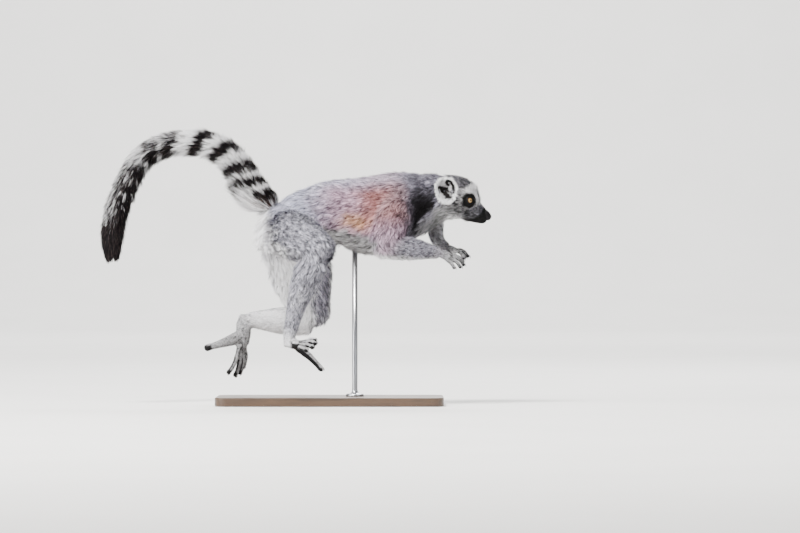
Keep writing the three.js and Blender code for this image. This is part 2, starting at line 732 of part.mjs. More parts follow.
addLimb('right', [
  { node: 'upper_arm', form: limbForm(UPPER_ARM_RIGHT), material: finish(COLOUR.back) },
  { node: 'forearm', form: limbForm(FOREARM_RIGHT), material: limbFinish },
  { node: 'hand', form: pawForm(HAND_RIGHT, FINGERS_RIGHT), material: pawFinish },
]);
addLimb('left', [
  { node: 'upper_arm', form: limbForm(UPPER_ARM_LEFT), material: finish(COLOUR.back) },
  { node: 'forearm', form: limbForm(FOREARM_LEFT), material: limbFinish },
  { node: 'hand', form: pawForm(HAND_LEFT, FINGERS_LEFT), material: pawFinish },
]);
addLimb('right', [
  { node: 'thigh', form: limbForm(THIGH_RIGHT, { sides: 14 }), material: limbFinish },
  { node: 'shank', form: limbForm(SHANK_RIGHT), material: limbFinish },
  { node: 'foot', form: pawForm(FOOT_RIGHT, TOES_RIGHT), material: pawFinish },
  { node: 'big_toe', form: limbForm(BIG_TOE_RIGHT, { sides: 8, steps: 5 }), material: pawFinish },
]);
addLimb('left', [
  { node: 'thigh', form: limbForm(THIGH_LEFT, { sides: 14 }), material: limbFinish },
  { node: 'shank', form: limbForm(SHANK_LEFT), material: limbFinish },
  { node: 'foot', form: pawForm(FOOT_LEFT, TOES_LEFT), material: pawFinish },
  { node: 'big_toe', form: limbForm(BIG_TOE_LEFT, { sides: 8, steps: 5 }), material: pawFinish },
]);

// Tail, one node for each ring of colour
let ringEnd = 0;
TAIL_RINGS.forEach((ringLength, k) => {
  const start = rootOf(ringEnd);
  ringEnd += ringLength;
  const ring = makeTailRing(start, rootOf(ringEnd), k + 1, k === TAIL_RINGS.length - 1);
  const colour = k % 2 ? COLOUR.dark : COLOUR.tailWhite;
  const name = `tail_${String(k + 1).padStart(2, '0')}`;
  addNode(name, cut(ring, [torsoForm(GAP)]), finish(colour));
});

// Stand
function baseForm() {
  const shape = new THREE.Shape();
  const [x, y, r] = [BASE.length / 2 - BASE.edge, BASE.width / 2 - BASE.edge, BASE.corner];
  shape.moveTo(-x + r, -y).lineTo(x - r, -y).absarc(x - r, -y + r, r, -Math.PI / 2, 0);
  shape.lineTo(x, y - r).absarc(x - r, y - r, r, 0, Math.PI / 2);
  shape.lineTo(-x + r, y).absarc(-x + r, y - r, r, Math.PI / 2, Math.PI);
  shape.lineTo(-x, -y + r).absarc(-x + r, -y + r, r, Math.PI, 1.5 * Math.PI);
  const geometry = new THREE.ExtrudeGeometry(shape, {
    depth: BASE.thickness - 2 * BASE.edge,
    bevelThickness: BASE.edge,
    bevelSize: BASE.edge,
    bevelSegments: 1,
    curveSegments: 3,
  });
  return geometry.translate(0, 0, BASE.edge);
}

const base = new THREE.Mesh(baseForm(), finish(COLOUR.base, 0.5));
base.name = 'stand_base';
lemur.add(base);
const rodFoot = new THREE.Vector3(ROD.x, ROD.y, BASE.thickness + GAP);
const flangeTop = rodFoot.clone().addScaledVector(UP, ROD_FLANGE.thickness);
addNode('stand_rod', union([
  bar(rodFoot, rodTop(), ROD.radius, ROD.sides),
  bar(rodFoot, flangeTop, ROD_FLANGE.radius, ROD.sides, ROD_FLANGE.radius - 2),
]), finish(COLOUR.steel, 0.3, 1));

export default lemur;
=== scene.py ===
"""A ring-tailed lemur in mid-leap on a plain display stand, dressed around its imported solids.

One skin stands for the solids of flesh and lies inside them by the depth of the coat. The coat is joined
mesh tufts that grow from the skin along the lie of the hair. Sizes are in millimetres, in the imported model's
frame (+X forward, +Y to the animal's left, +Z up), and become metres where a mesh is made.
"""

from math import atan2, cos, hypot, pi, radians, sin

import bmesh
import bpy
import numpy as np
from mathutils import Matrix, Vector


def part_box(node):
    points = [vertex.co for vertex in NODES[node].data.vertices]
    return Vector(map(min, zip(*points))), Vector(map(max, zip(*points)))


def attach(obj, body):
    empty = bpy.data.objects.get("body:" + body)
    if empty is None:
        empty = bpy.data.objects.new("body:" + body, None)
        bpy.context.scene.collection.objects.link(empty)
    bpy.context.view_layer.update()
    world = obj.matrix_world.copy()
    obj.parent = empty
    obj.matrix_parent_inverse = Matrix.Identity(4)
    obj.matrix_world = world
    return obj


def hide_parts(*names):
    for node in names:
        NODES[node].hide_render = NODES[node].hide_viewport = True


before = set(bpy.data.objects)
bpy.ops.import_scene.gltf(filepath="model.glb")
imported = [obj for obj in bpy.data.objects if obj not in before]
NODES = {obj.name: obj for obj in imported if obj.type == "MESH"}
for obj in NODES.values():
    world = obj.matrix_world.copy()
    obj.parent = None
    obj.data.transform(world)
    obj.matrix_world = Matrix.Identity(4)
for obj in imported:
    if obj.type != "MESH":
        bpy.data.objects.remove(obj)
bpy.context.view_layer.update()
MM = 0.001
SIDES = {"left": 1, "right": -1}

# ---------------------------------------------------------------- driving sizes

# The lie of the hair on each body part: a path of (x, y, z, radius) from where the hair starts to where
# it points, the hair's length at both ends of it, and how densely its tufts grow beside the other parts'.
PARTS = {
    "torso": {
        "path": [(205, 0, 380, 42), (162, 0, 369, 52), (130, 0, 362, 60), (66, 0, 350, 61), (0, 0, 360, 50),
                 (-38, 0, 348, 52), (-74, 0, 331, 53), (-106, 0, 321, 42), (-129, 0, 321, 22)],
        "hair": (14, 16), "density": 0.9,
    },
    "neck": {
        "path": [(250, 0, 384, 34), (228, 0, 383, 33), (206, 0, 381, 41), (176, 0, 372, 48)],
        "hair": (12, 15), "density": 1.1,
    },
    "upper_arm_right": {
        "path": [(134, -30, 374, 31), (119, -56, 343, 29), (104, -74, 313, 25), (92, -84, 288, 22)],
        "hair": (14, 12), "density": 1.0,
    },
    "forearm_right": {
        "path": [(79, -85, 294, 21), (122, -72, 291.5, 22), (163, -55, 287, 18), (188, -42, 283, 13.5),
                 (203, -37, 280.5, 11.5)],
        "hair": (11, 5), "density": 1.4,
    },
    "hand_right": {
        "path": [(199, -38, 280, 10), (212, -35.5, 277.5, 11), (222, -34, 273.5, 11), (236, -33, 269, 12),
                 (246, -33, 256, 8)],
        "hair": (4.5, 2.2), "density": 2.4,
    },
    "upper_arm_left": {
        "path": [(142, 30, 371, 30), (160, 60, 364, 26), (178, 84, 358, 21), (194, 103, 352, 18)],
        "hair": (14, 11), "density": 1.0,
    },
    "forearm_left": {
        "path": [(194, 108, 358, 17), (195, 86, 336, 16), (196.5, 66, 318, 15), (200, 50, 305, 13),
                 (208, 40, 297, 12), (218, 33, 291.5, 10)],
        "hair": (10, 5), "density": 1.4,
    },
    "hand_left": {
        "path": [(216, 34, 292, 9), (226, 28, 287, 10), (234, 24, 285, 11), (246, 26, 284, 13),
                 (256, 28, 272, 9)],
        "hair": (4.5, 2.2), "density": 2.4,
    },
    "thigh_right": {
        "path": [(-85, -18, 324, 44), (-64, -56, 314, 42), (-34, -94, 295, 36), (-1, -126, 277, 26)],
        "hair": (16, 13), "density": 1.0,
    },
    "shank_right": {
        "path": [(-18, -117, 277, 24), (-36, -110, 246, 28), (-52, -101, 208, 22), (-63, -93, 172, 16),
                 (-71, -86, 140, 14)],
        "hair": (13, 6), "density": 1.3,
    },
    "foot_right": {
        "path": [(-74, -84, 132, 12), (-66, -88, 114, 11), (-54, -99, 113, 12), (-43, -112, 114, 13),
                 (-30, -128, 113, 14)],
        "hair": (4.6, 3.2), "density": 2.2,
    },
    "big_toe_right": {
        "path": [(-62, -90, 107, 8), (-42, -93, 96, 7), (-26, -96, 81, 5), (-12, -98, 66, 5)],
        "hair": (3.4, 2.8), "density": 2.4,
    },
    "thigh_left": {
        "path": [(-82, 20, 322, 42), (-59, 42, 270, 47), (-50, 50, 228, 45), (-40, 56, 187, 36),
                 (-30, 60, 144, 28)],
        "hair": (16, 14), "density": 1.0,
    },
    "shank_left": {
        "path": [(-30, 60, 158, 24), (-64, 60, 155.5, 26), (-100, 59, 155.5, 23), (-133, 57, 156.5, 17),
                 (-158, 56, 158, 13)],
        "hair": (12, 5), "density": 1.3,
    },
    "foot_left": {
        "path": [(-160, 55.5, 158, 13), (-162, 55, 128, 14), (-164, 56, 104, 13), (-166, 57, 82, 16),
                 (-171, 57, 58, 16)],
        "hair": (4.5, 2.4), "density": 2.2,
    },
    "big_toe_left": {
        "path": [(-160, 52, 130, 12), (-182, 44, 120, 10), (-203, 38.5, 113, 7.2), (-219, 36, 108, 6.3),
                 (-232, 35, 105, 6.5)],
        "hair": (3.2, 2), "density": 2.2,
    },
    "head": {
        "path": [(290, 0, 352, 9), (276, 0, 357, 14), (262, 0, 374, 26), (240, 0, 384, 36),
                 (205, 0, 384, 30)],
        "hair": (1.6, 9), "density": 3.2,
    },
}
LIMBS = [name for name in PARTS if name.endswith(("_left", "_right"))]
PAWS = [name for name in LIMBS if name.startswith(("hand", "foot", "big_toe"))]
PART_SOFTNESS = 5.0  # over how many millimetres one part's lie turns into the next one's
HAIR_LIFT = 0.34  # how steeply the hair stands, from 0, flat, to 1
COAT_DEPTH = 0.27  # of a hair's length that the skin lies inside the solids
DEEPEST_COAT = 4.6  # the most that it lies inside them
HEAD_HAIR = [(205, 11), (226, 8), (238, 6.5), (252, 4.6), (264, 3.2), (274, 2), (290, 1.3)]  # (x, length)
BROW_HAIR = 7.0  # added to the hair's length in the tuft over the eyes

DIGITS = {  # the middle line of each digit, out to its tip
    "hand_right": [
        [(208, -27, 278), (219, -16, 272.5), (226, -11, 263)],
        [(215, -27, 278.5), (236, -23, 275), (247, -21, 263)],
        [(216, -32, 277), (237, -31.5, 270.5), (248.5, -31, 256.5)],
        [(214, -38, 274.5), (232, -41, 265.5), (242.5, -42, 252.5)],
        [(210, -44, 272.5), (223, -49, 262.5), (230.5, -51, 251)],
    ],
    "hand_left": [
        [(222, 20, 286.5), (230, 8, 279.5), (235, 4, 271.5)],
        [(231, 16, 285), (242, 14, 281), (249, 12, 268)],
        [(231, 23, 287), (246, 23, 286), (257, 23, 273)],
        [(231, 31, 286.5), (246, 33, 285.5), (258, 35, 272.5)],
        [(229, 37, 286), (243, 43, 282.5), (253, 46, 271)],
    ],
    "foot_right": [
        [(-49, -98, 118), (-31, -110, 123), (-24, -118, 121)],
        [(-49, -105, 116), (-31, -122, 118), (-23, -133, 115)],
        [(-51, -111, 113), (-37, -130, 112), (-28, -144, 108.5)],
        [(-55, -114, 109), (-46, -132, 106), (-39, -144, 103)],
    ],
    "big_toe_right": [
        [(-62, -90, 107), (-42, -93, 96), (-26, -96, 81), (-12, -98, 66)],
    ],
    "foot_left": [
        [(-169, 46, 114), (-176, 41.5, 82), (-184, 40.5, 66), (-191, 40, 57)],
        [(-167, 53, 112), (-170, 51, 77), (-174, 51, 61), (-178, 51, 51)],
        [(-164, 59, 112), (-163, 61, 79), (-166, 61.5, 65), (-170, 62, 55)],
        [(-161, 65, 114), (-158, 70.5, 88), (-160, 71.5, 77), (-163, 72, 67)],
    ],
    "big_toe_left": [
        [(-160, 52, 130), (-182, 44, 120), (-203, 38.5, 113), (-219, 36, 108), (-232, 35, 105)],
    ],
}
# The way out of each palm or sole, how far its tips are bare, how much its digits swell in their pads
# (swell) and all round (plump), and where it is bare: where it faces out of the palm by edge, below top and
# ahead of rear.
PADS = {
    "hand_right": {"palm": (-0.3, 0.05, -0.95), "tip": 6.5, "swell": 1.1, "plump": 0.3,
                   "edge": 0.15, "top": 999, "rear": -999},
    "hand_left": {"palm": (-0.25, 0, -0.97), "tip": 6.5, "swell": 1.1, "plump": 0.3,
                  "edge": 0.15, "top": 999, "rear": -999},
    "foot_right": {"palm": (-0.1, -0.72, -0.68), "tip": 7.5, "swell": 1.4, "plump": 1.1,
                   "edge": 0.05, "top": 999, "rear": -71},
    "big_toe_right": {"palm": (-0.72, -0.42, -0.55), "tip": 9, "swell": 1.6, "plump": 1.5,
                      "edge": 0.0, "top": 999, "rear": -71},
    "foot_left": {"palm": (-0.86, -0.3, -0.4), "tip": 11, "swell": 1.6, "plump": 1.0,
                  "edge": 0.15, "top": 118, "rear": -999},
    "big_toe_left": {"palm": (-0.55, -0.35, -0.76), "tip": 15, "swell": 3.2, "plump": 0.8,
                     "edge": 0.15, "top": 0, "rear": -999},
}

# The head's frame: it is turned on the neck, and its own positions are given before that turn.
HEAD_TURN = radians(-10)
HEAD_PIVOT = np.array([212.0, 0.0, 384.0])
NOSE_TIP = np.array([299.0, 0.0, 352.0])
EYE_FRONT = np.array([264.6, 25.5, 378.0])
EYE_AIM = np.array([0.68, 0.73, 0.06])
BROW = np.array([274.0, 0.0, 396.0])  # the middle of the tuft of raised hair over the eyes
HEEL = np.array([-80.0, -84.0, 120.0])  # the right heel, where the hair is short
MOUTH_LINE = [(247, 349.5), (258, 346), (270, 343.5), (282, 342.2), (300, 342.5)]  # (x, z)

EAR_RIM_CENTRE = np.array([221.0, 39.0, 396.5])
EAR_AIM = np.array([0.42, 0.88, 0.16])
EAR_HALF = (18.0, 20.5)  # half width and half height of the bare rim, inside its fringe of hair
EAR_DEPTH = 12.0

# The tail's path, the lengths of its rings (white and black in turn) and how far its hair reaches. The half
# widths, the share that the lower side adds to them and the skew are tables from its root to its tip.
TAIL_PATH = [
    (-102, 0, 358), (-125, 0, 384), (-147, 3, 412), (-166, 7, 442), (-192, 11, 468), (-230, 14, 484),
    (-268, 16, 486), (-305, 16, 480), (-338, 13, 464), (-362, 8, 437), (-378, 3, 405), (-390, -1, 373),
    (-398, -3, 341), (-403, -4, 309), (-403, -4, 272),
]
TAIL_RINGS = [28, 17, 17, 18, 17, 20, 26, 20, 28, 22, 39, 19, 19, 17, 33, 19, 14, 15, 14, 14, 11, 88]
TAIL_HALF_WIDTH = [25, 26.5, 27.5, 27.5, 27, 27, 26.5, 26, 26, 25.5, 25, 22]
HAIR_BELOW = [0.65, 0.7, 0.45, 0.2, 0.08, 0, 0, 0, 0, 0, 0, 0]
TAIL_SKEW = [9, 9, 10, 13, 14, 14, 11, 5, 1, 0, 0, 0]  # how far back the upper side of a ring lies
TAIL_CORE = 0.42  # the skin's share of the half width
TIP_TAPER, TIP_END = 468.0, 516.0
TAIL_REACH = 22.0  # along the tail, from a hair's root to its tip
TAIL_FURTHEST = 514.0  # along the tail, where its last hair ends
RING_LEAD = 20.0  # how far a ring's colour shows beyond its hairs' roots
TAIL_ROOT = np.array([-112.0, 0.0, 366.0])
TAIL_SPOT = np.array([-108.0, 0.0, 360.0])  # the middle of the reddish hair at its root
TAIL_BOX = (-85, 235)  # the tail is all behind this x and above this z

# Reflectances
COLOUR = {
    "back": (0.415, 0.42, 0.52),
    "mid_back": (0.46, 0.315, 0.40),
    "rufous": (0.32, 0.122, 0.10),
    "ochre": (0.50, 0.27, 0.135),
    "limb": (0.38, 0.375, 0.43),
    "white": (0.86, 0.85, 0.87),
    "nape_black_and_shade": (0.007, 0.006, 0.007),
    "neck_top": (0.15, 0.142, 0.175),
    "crown": (0.05, 0.047, 0.057),
    "black": (0.003, 0.0028, 0.003),
    "muzzle": (0.062, 0.06, 0.073),
    "ear": (0.022, 0.018, 0.018),
    "tail_black": (0.005, 0.0036, 0.0045),
    "tail_white": (0.88, 0.87, 0.89),
    "tail_rust": (0.13, 0.075, 0.062),
}
COLOUR = {name: np.array(value) for name, value in COLOUR.items()}


# ---------------------------------------------------------------- arithmetic on arrays of points

def unit(v):
    return v / np.maximum(np.linalg.norm(v, axis=-1, keepdims=True), 1e-9)


def step(x, low, high):
    """0 below low and 1 above high, with a smooth rise between them."""
    t = np.clip((x - low) / (high - low), 0, 1)
    return t * t * (3 - 2 * t)


def mix(colour, layer, mask):
    """The colour, covered by the layer as far as the mask says."""
    return colour * (1 - mask[:, None]) + layer * mask[:, None]


def wobble(p, scale, seed):
    """A smooth random value from about -1 to 1 at each point, with bumps about scale across."""
    rng = np.random.default_rng(seed)
    waves = unit(rng.normal(size=(9, 3))) * (2 * pi / scale) * rng.uniform(0.6, 1.7, (9, 1))
    return np.clip(np.sin(p @ waves.T + rng.uniform(0, 2 * pi, 9)).mean(1) * 2.2, -1, 1)


def to_head(p):
    """Points in the head's own frame, with its turn on the neck undone."""
    c, s = cos(-HEAD_TURN), sin(-HEAD_TURN)
    x, y, z = np.moveaxis(p - HEAD_PIVOT, -1, 0)
    return np.stack([x * c - y * s, x * s + y * c, z], -1) + HEAD_PIVOT


def from_head(p, vector=False):
    """Points, or directions, of the head's own frame, turned with it on the neck."""
    c, s = cos(HEAD_TURN), sin(HEAD_TURN)
    x, y, z = np.moveaxis(np.asarray(p, float) - (0 if vector else HEAD_PIVOT), -1, 0)
    placed = np.stack([x * c - y * s, x * s + y * c, z], -1)
    return placed if vector else placed + HEAD_PIVOT


def table_at(table, share):
    """The value of an evenly spaced table at a share, from 0 to 1, of its length."""
    return np.interp(np.clip(share, 0, 1), np.linspace(0, 1, len(table)), table)


def hump(distance, width):
    """1 in the middle, falling off like a bell over so many millimetres."""
    return np.exp(-(distance / width) ** 2)


# ---------------------------------------------------------------- the tail's own frame

def smooth_path(points, steps=24):
    """A Catmull-Rom curve through the points, as a dense list."""
    p = np.array(points, float)
    p = np.vstack([2 * p[0] - p[1], p, 2 * p[-1] - p[-2]])
    dense = []
    for a, b, c, d in zip(p[:-3], p[1:-2], p[2:-1], p[3:]):
        for t in np.arange(steps) / steps:
            bend = a - 2.5 * b + 2 * c - d / 2 + t * (1.5 * b - 1.5 * c + (d - a) / 2)
            dense.append(b + t * ((c - a) / 2 + t * bend))
    return np.array(dense + [p[-2]])


TAIL_LINE = smooth_path(TAIL_PATH)
TAIL_AT = np.concatenate([[0], np.cumsum(np.linalg.norm(np.diff(TAIL_LINE, axis=0), axis=1))])
TAIL_LENGTH = sum(TAIL_RINGS)
TAIL_ALONG = unit(np.gradient(TAIL_LINE, axis=0))
TAIL_SIDE = unit(np.array([0, 1, 0]) - TAIL_ALONG * TAIL_ALONG[:, 1:2])
TAIL_OUTER = np.cross(TAIL_SIDE, TAIL_ALONG)


def along_tail(values, s):
    return np.stack([np.interp(s, TAIL_AT, values[:, k]) for k in range(3)], -1)


def tail_radius(s):
    f = np.clip((s - TIP_TAPER) / (TIP_END - TIP_TAPER), 0, 0.98)
    return table_at(TAIL_HALF_WIDTH, s / TAIL_LENGTH) * np.sqrt(1 - f * f)


def on_tail(s, r, angle):
    """Points at s along the tail and r out from its middle. Angle 0 is the outer, upper side."""
    slid = s - table_at(TAIL_SKEW, s / TAIL_LENGTH) * np.cos(angle) * r / tail_radius(s)
    beyond = slid - np.clip(slid, 0, TAIL_AT[-1])
    along = along_tail(TAIL_ALONG, slid)
    out = r * (1 + table_at(HAIR_BELOW, s / TAIL_LENGTH) * ((1 - np.cos(angle)) / 2) ** 2)
    return (along_tail(TAIL_LINE, slid) + along * beyond[:, None]
            + along_tail(TAIL_OUTER, slid) * (np.cos(angle) * out)[:, None]
            + along_tail(TAIL_SIDE, slid) * (np.sin(angle) * out)[:, None])


def place_on_tail(p):
    """(s, angle) of each point near the tail."""
    nearest = np.concatenate([
        np.argmin(((chunk[:, None] - TAIL_LINE[None]) ** 2).sum(-1), axis=1)
        for chunk in np.array_split(p, max(1, len(p) // 4000))
    ])
    offset = p - TAIL_LINE[nearest]
    angle = np.arctan2((offset * TAIL_SIDE[nearest]).sum(-1), (offset * TAIL_OUTER[nearest]).sum(-1))
    slid = TAIL_AT[nearest] + (offset * TAIL_ALONG[nearest]).sum(-1)
    return slid + table_at(TAIL_SKEW, slid / TAIL_LENGTH) * np.cos(angle) * TAIL_CORE, angle


def near_tail(p):
    return (p[:, 0] < TAIL_BOX[0]) & (p[:, 2] > TAIL_BOX[1])


def ring_blackness(s):
    """0 on a white ring and 1 on a black one, by the distance along the tail."""
    ends = np.cumsum(TAIL_RINGS)
    return (np.searchsorted(ends, np.clip(s, 0, TAIL_LENGTH - 1), side="right") % 2).astype(float)


# ---------------------------------------------------------------- meshes from arrays

def link(name, mesh):
    piece = bpy.data.objects.new(name, mesh)
    bpy.context.scene.collection.objects.link(piece)
    return piece


def mesh_from(name, points, faces, smooth=True):
    """A mesh object from points in millimetres and faces of any count."""
    mesh = bpy.data.meshes.new(name)
    mesh.from_pydata([tuple(p) for p in np.asarray(points) * MM], [], [tuple(f) for f in faces])
    mesh.validate()
    mesh.polygons.foreach_set("use_smooth", [smooth] * len(mesh.polygons))
    return link(name, mesh)


def ring_faces(rings, sides, closed=True):
    """Quads that join rings of equal count, and a fan at each end if closed."""
    faces = []
    for ring in range(rings - 1):
        for k in range(sides):
            a, b = ring * sides + k, ring * sides + (k + 1) % sides
            faces.append((a, b, b + sides, a + sides))
    if closed:
        faces.append(tuple(range(sides))[::-1])
        faces.append(tuple(range((rings - 1) * sides, rings * sides)))
    return faces


def meshed(name, shape, smooth=True):
    """A mesh object made from a bmesh, which is freed."""
    mesh = bpy.data.meshes.new(name)
    shape.to_mesh(mesh)
    shape.free()
    mesh.polygons.foreach_set("use_smooth", [smooth] * len(mesh.polygons))
    return link(name, mesh)


def turned(profile, steps, centre=(0, 0, 0)):
    """A bmesh of a profile of (radius, height), in millimetres, spun about an upright line at centre."""
    shape = bmesh.new()
    corners = [shape.verts.new((centre[0] + r * MM, centre[1], centre[2] + z * MM)) for r, z in profile]
    edges = [shape.edges.new(pair) for pair in zip(corners, corners[1:])]
    bmesh.ops.spin(shape, geom=corners + edges, cent=centre, axis=(0, 0, 1), dvec=(0, 0, 0), angle=2 * pi,
                   steps=steps, use_merge=True)
    bmesh.ops.remove_doubles(shape, verts=shape.verts, dist=1e-6)
    bmesh.ops.recalc_face_normals(shape, faces=shape.faces)
    return shape


def paint(mesh, colours):
    """Gives the mesh its Coat attribute, a colour for each vertex."""
    rgba = np.column_stack([colours, np.ones(len(colours))]).astype(np.float32)
    mesh.color_attributes.new("Coat", "FLOAT_COLOR", "POINT").data.foreach_set("color", rgba.ravel())


def arrays_of(mesh):
    """(points in millimetres, triangles) of a mesh."""
    points = np.empty(len(mesh.vertices) * 3, np.float32)
    mesh.vertices.foreach_get("co", points)
    mesh.calc_loop_triangles()
    triangles = np.empty(len(mesh.loop_triangles) * 3, np.int32)
    mesh.loop_triangles.foreach_get("vertices", triangles)
    return points.reshape(-1, 3).astype(float) / MM, triangles.reshape(-1, 3)


def evaluated(piece):
    """The piece's mesh with its modifiers applied, and the piece removed."""
    graph = bpy.context.evaluated_depsgraph_get()
    mesh = bpy.data.meshes.new_from_object(piece.evaluated_get(graph), depsgraph=graph)
    bpy.data.objects.remove(piece)
    return mesh


def remeshed(piece, voxel):
    """The piece's solids as one closed mesh of even cells, and the piece removed."""
    modifier = piece.modifiers.new("remesh", "REMESH")
    modifier.mode = "VOXEL"
    modifier.voxel_size = voxel * MM
    return evaluated(piece)


def vertex_normals(points, triangles):
    """The way out at each point, as the mean of its triangles by their area."""
    a, b, c = (points[triangles[:, k]] for k in range(3))
    faces = np.cross(b - a, c - a)
    total = np.zeros_like(points)
    for k in range(3):
        for axis in range(3):
            total[:, axis] += np.bincount(triangles[:, k], faces[:, axis], len(points))
    return unit(total)


class Smoother:
    """Averages values over the neighbours of each vertex of a mesh of triangles."""

    def __init__(self, triangles, count):
        edges = np.vstack([triangles[:, [0, 1]], triangles[:, [1, 2]], triangles[:, [2, 0]]])
        self.here = np.concatenate([edges[:, 0], edges[:, 1]])
        self.there = np.concatenate([edges[:, 1], edges[:, 0]])
        self.count = count
        self.degree = np.maximum(np.bincount(self.here, minlength=count), 1)[:, None]

    def around(self, values):
        total = [np.bincount(self.here, values[self.there, k], self.count) for k in range(values.shape[1])]
        return np.stack(total, -1) / self.degree

    def smooth(self, values, rounds, share=0.5):
        values = values if values.ndim == 2 else values[:, None]
        for _ in range(rounds):
            values = values + share * (self.around(values) - values)
        return values


# ---------------------------------------------------------------- which part a point is on

def part_fields(p):
    """For each point: each part's weight, the lie of the hair, its length and its density."""
    names = list(PARTS)
    distance = np.empty((len(p), len(names)))
    lie = np.empty((len(p), len(names), 3))
    share = np.empty((len(p), len(names)))
    for n, name in enumerate(names):
        q = to_head(p) if name == "head" else p
        path = np.array(PARTS[name]["path"], float)
        best = np.full(len(p), 1e9)
        lengths = np.linalg.norm(np.diff(path[:, :3], axis=0), axis=1)
        start = 0.0
        for a, b, length in zip(path[:-1], path[1:], lengths):
            t = np.clip(((q - a[:3]) @ (b - a)[:3]) / length ** 2, 0, 1)
            gap = np.linalg.norm(q - a[:3] - t[:, None] * (b - a)[:3], axis=1) - (a[3] + t * (b[3] - a[3]))
            closer = gap < best
            best[closer] = gap[closer]
            lie[closer, n] = (b - a)[:3] / length
            share[closer, n] = (start + t[closer] * length) / lengths.sum()
            start += length
        distance[:, n] = best
    weight = np.exp(-(distance - distance.min(1, keepdims=True)) / PART_SOFTNESS)
    weight /= weight.sum(1, keepdims=True)
    head = names.index("head")
    q = to_head(p)
    lie[:, head] = from_head(unit(q - NOSE_TIP), vector=True)
    hair = np.array([PARTS[name]["hair"] for name in names])
    lengths = hair[:, 0] + (hair[:, 1] - hair[:, 0]) * share
    x, head_length = np.array(HEAD_HAIR, float).T
    lengths[:, head] = np.interp(q[:, 0], x, head_length) * (1 - 0.45 * (1 - step(eye_distance(q), 10, 20)))
    rump = step(-p[:, 0], 82, 120) * (1 - step(p[:, 2], 346, 374)) * step(p[:, 2], 188, 215)
    brow = hump(np.linalg.norm((q * [1, 0.7, 1]) - BROW, axis=1), 8.5)
    heel = hump(np.linalg.norm(p - HEEL, axis=1), 15)
    length = (weight * lengths).sum(1) * (1 + 0.5 * rump) * (1 - 0.5 * heel) + BROW_HAIR * brow
    density = weight @ np.array([PARTS[name]["density"] for name in names])
    return {
        "weight": {name: weight[:, n] for n, name in enumerate(names)},
        "share": {name: share[:, n] for n, name in enumerate(names)},
        "lie": (weight[:, :, None] * lie).sum(1),
        "length": length,
        "density": density,
        "fluff": np.maximum(rump, 1.7 * brow),
    }


def sum_of(weights, names):
    return np.clip(sum(weights[name] for name in names), 0, 1)


# ---------------------------------------------------------------- the skin

FLESH = [n for n in NODES if not n.startswith(("tail_", "ear_", "eye_", "nose", "stand_"))]
TAIL_NODES = [n for n in NODES if n.startswith("tail_")]
TRUNK = [n for n in FLESH if n.startswith(("torso", "neck", "upper_arm", "thigh"))]
SEAL = 0.5  # how far each solid swells, so that the gaps between them close
FILL = 14.0  # how far the trunk's solids swell and shrink again, to round off the creases between them
FILL_INSET = 0.8  # how far that filling then lies inside the solids
FILL_VOXEL = 3.0
SKIN_VOXEL = 1.15
SKIN_TRIANGLES = 178_000
MOUTH_CREASE = 1.3  # how deep the line of the lips is
NOSE_SWELL, NOSE_VOXEL = 0.4, 0.35
PAD_BACK, PAD_DOWN = 4.0, 1.8  # from a digit's tip to its pad, along the digit and out of the palm


def swollen(names, by):
    """One mesh of the named solids, each swollen by so many millimetres."""
    whole = bmesh.new()
    for name in names:
        part = bmesh.new()
        part.from_mesh(NODES[name].data)
        bmesh.ops.remove_doubles(part, verts=part.verts, dist=1e-5)
        bmesh.ops.recalc_face_normals(part, faces=part.faces)
        part.normal_update()
        for v in part.verts:
            v.co += v.normal * by * MM
        mesh = bpy.data.meshes.new(name + "_swollen")
        part.to_mesh(mesh)
        part.free()
        whole.from_mesh(mesh)
        bpy.data.meshes.remove(mesh)
    return meshed("swollen", whole)


def crease_filler():
    """The trunk's solids in one, with the creases where they meet rounded off, a little within them."""
    points, triangles = arrays_of(remeshed(swollen(TRUNK, FILL), FILL_VOXEL))
    points = Smoother(triangles, len(points)).smooth(points, 8)
    points = points - vertex_normals(points, triangles) * (FILL + FILL_INSET)
    return mesh_from("crease_filler", points, triangles)


def tail_core():
    """The inner body of the tail, which its hair hides."""
    sides, places = 20, np.linspace(-20, TAIL_LENGTH - 14, 70)
    angles = np.arange(sides) / sides * 2 * pi
    rings = [on_tail(np.full(sides, s), np.full(sides, TAIL_CORE * tail_radius(s)), angles) for s in places]
    return mesh_from("tail_core", np.vstack(rings), ring_faces(len(places), sides))


def joined(pieces):
    """The pieces as one, which takes their place."""
    whole = bmesh.new()
    for piece in pieces:
        whole.from_mesh(piece.data)
        bpy.data.objects.remove(piece)
    return meshed("joined", whole)


def mouth_distance(q):
    """How far each point in the head's frame is, up or down, from the line of the lips."""
    x, z = np.array(MOUTH_LINE, float).T
    return np.where(q[:, 0] > x[0], np.abs(q[:, 2] - np.interp(q[:, 0], x, z)), 99)


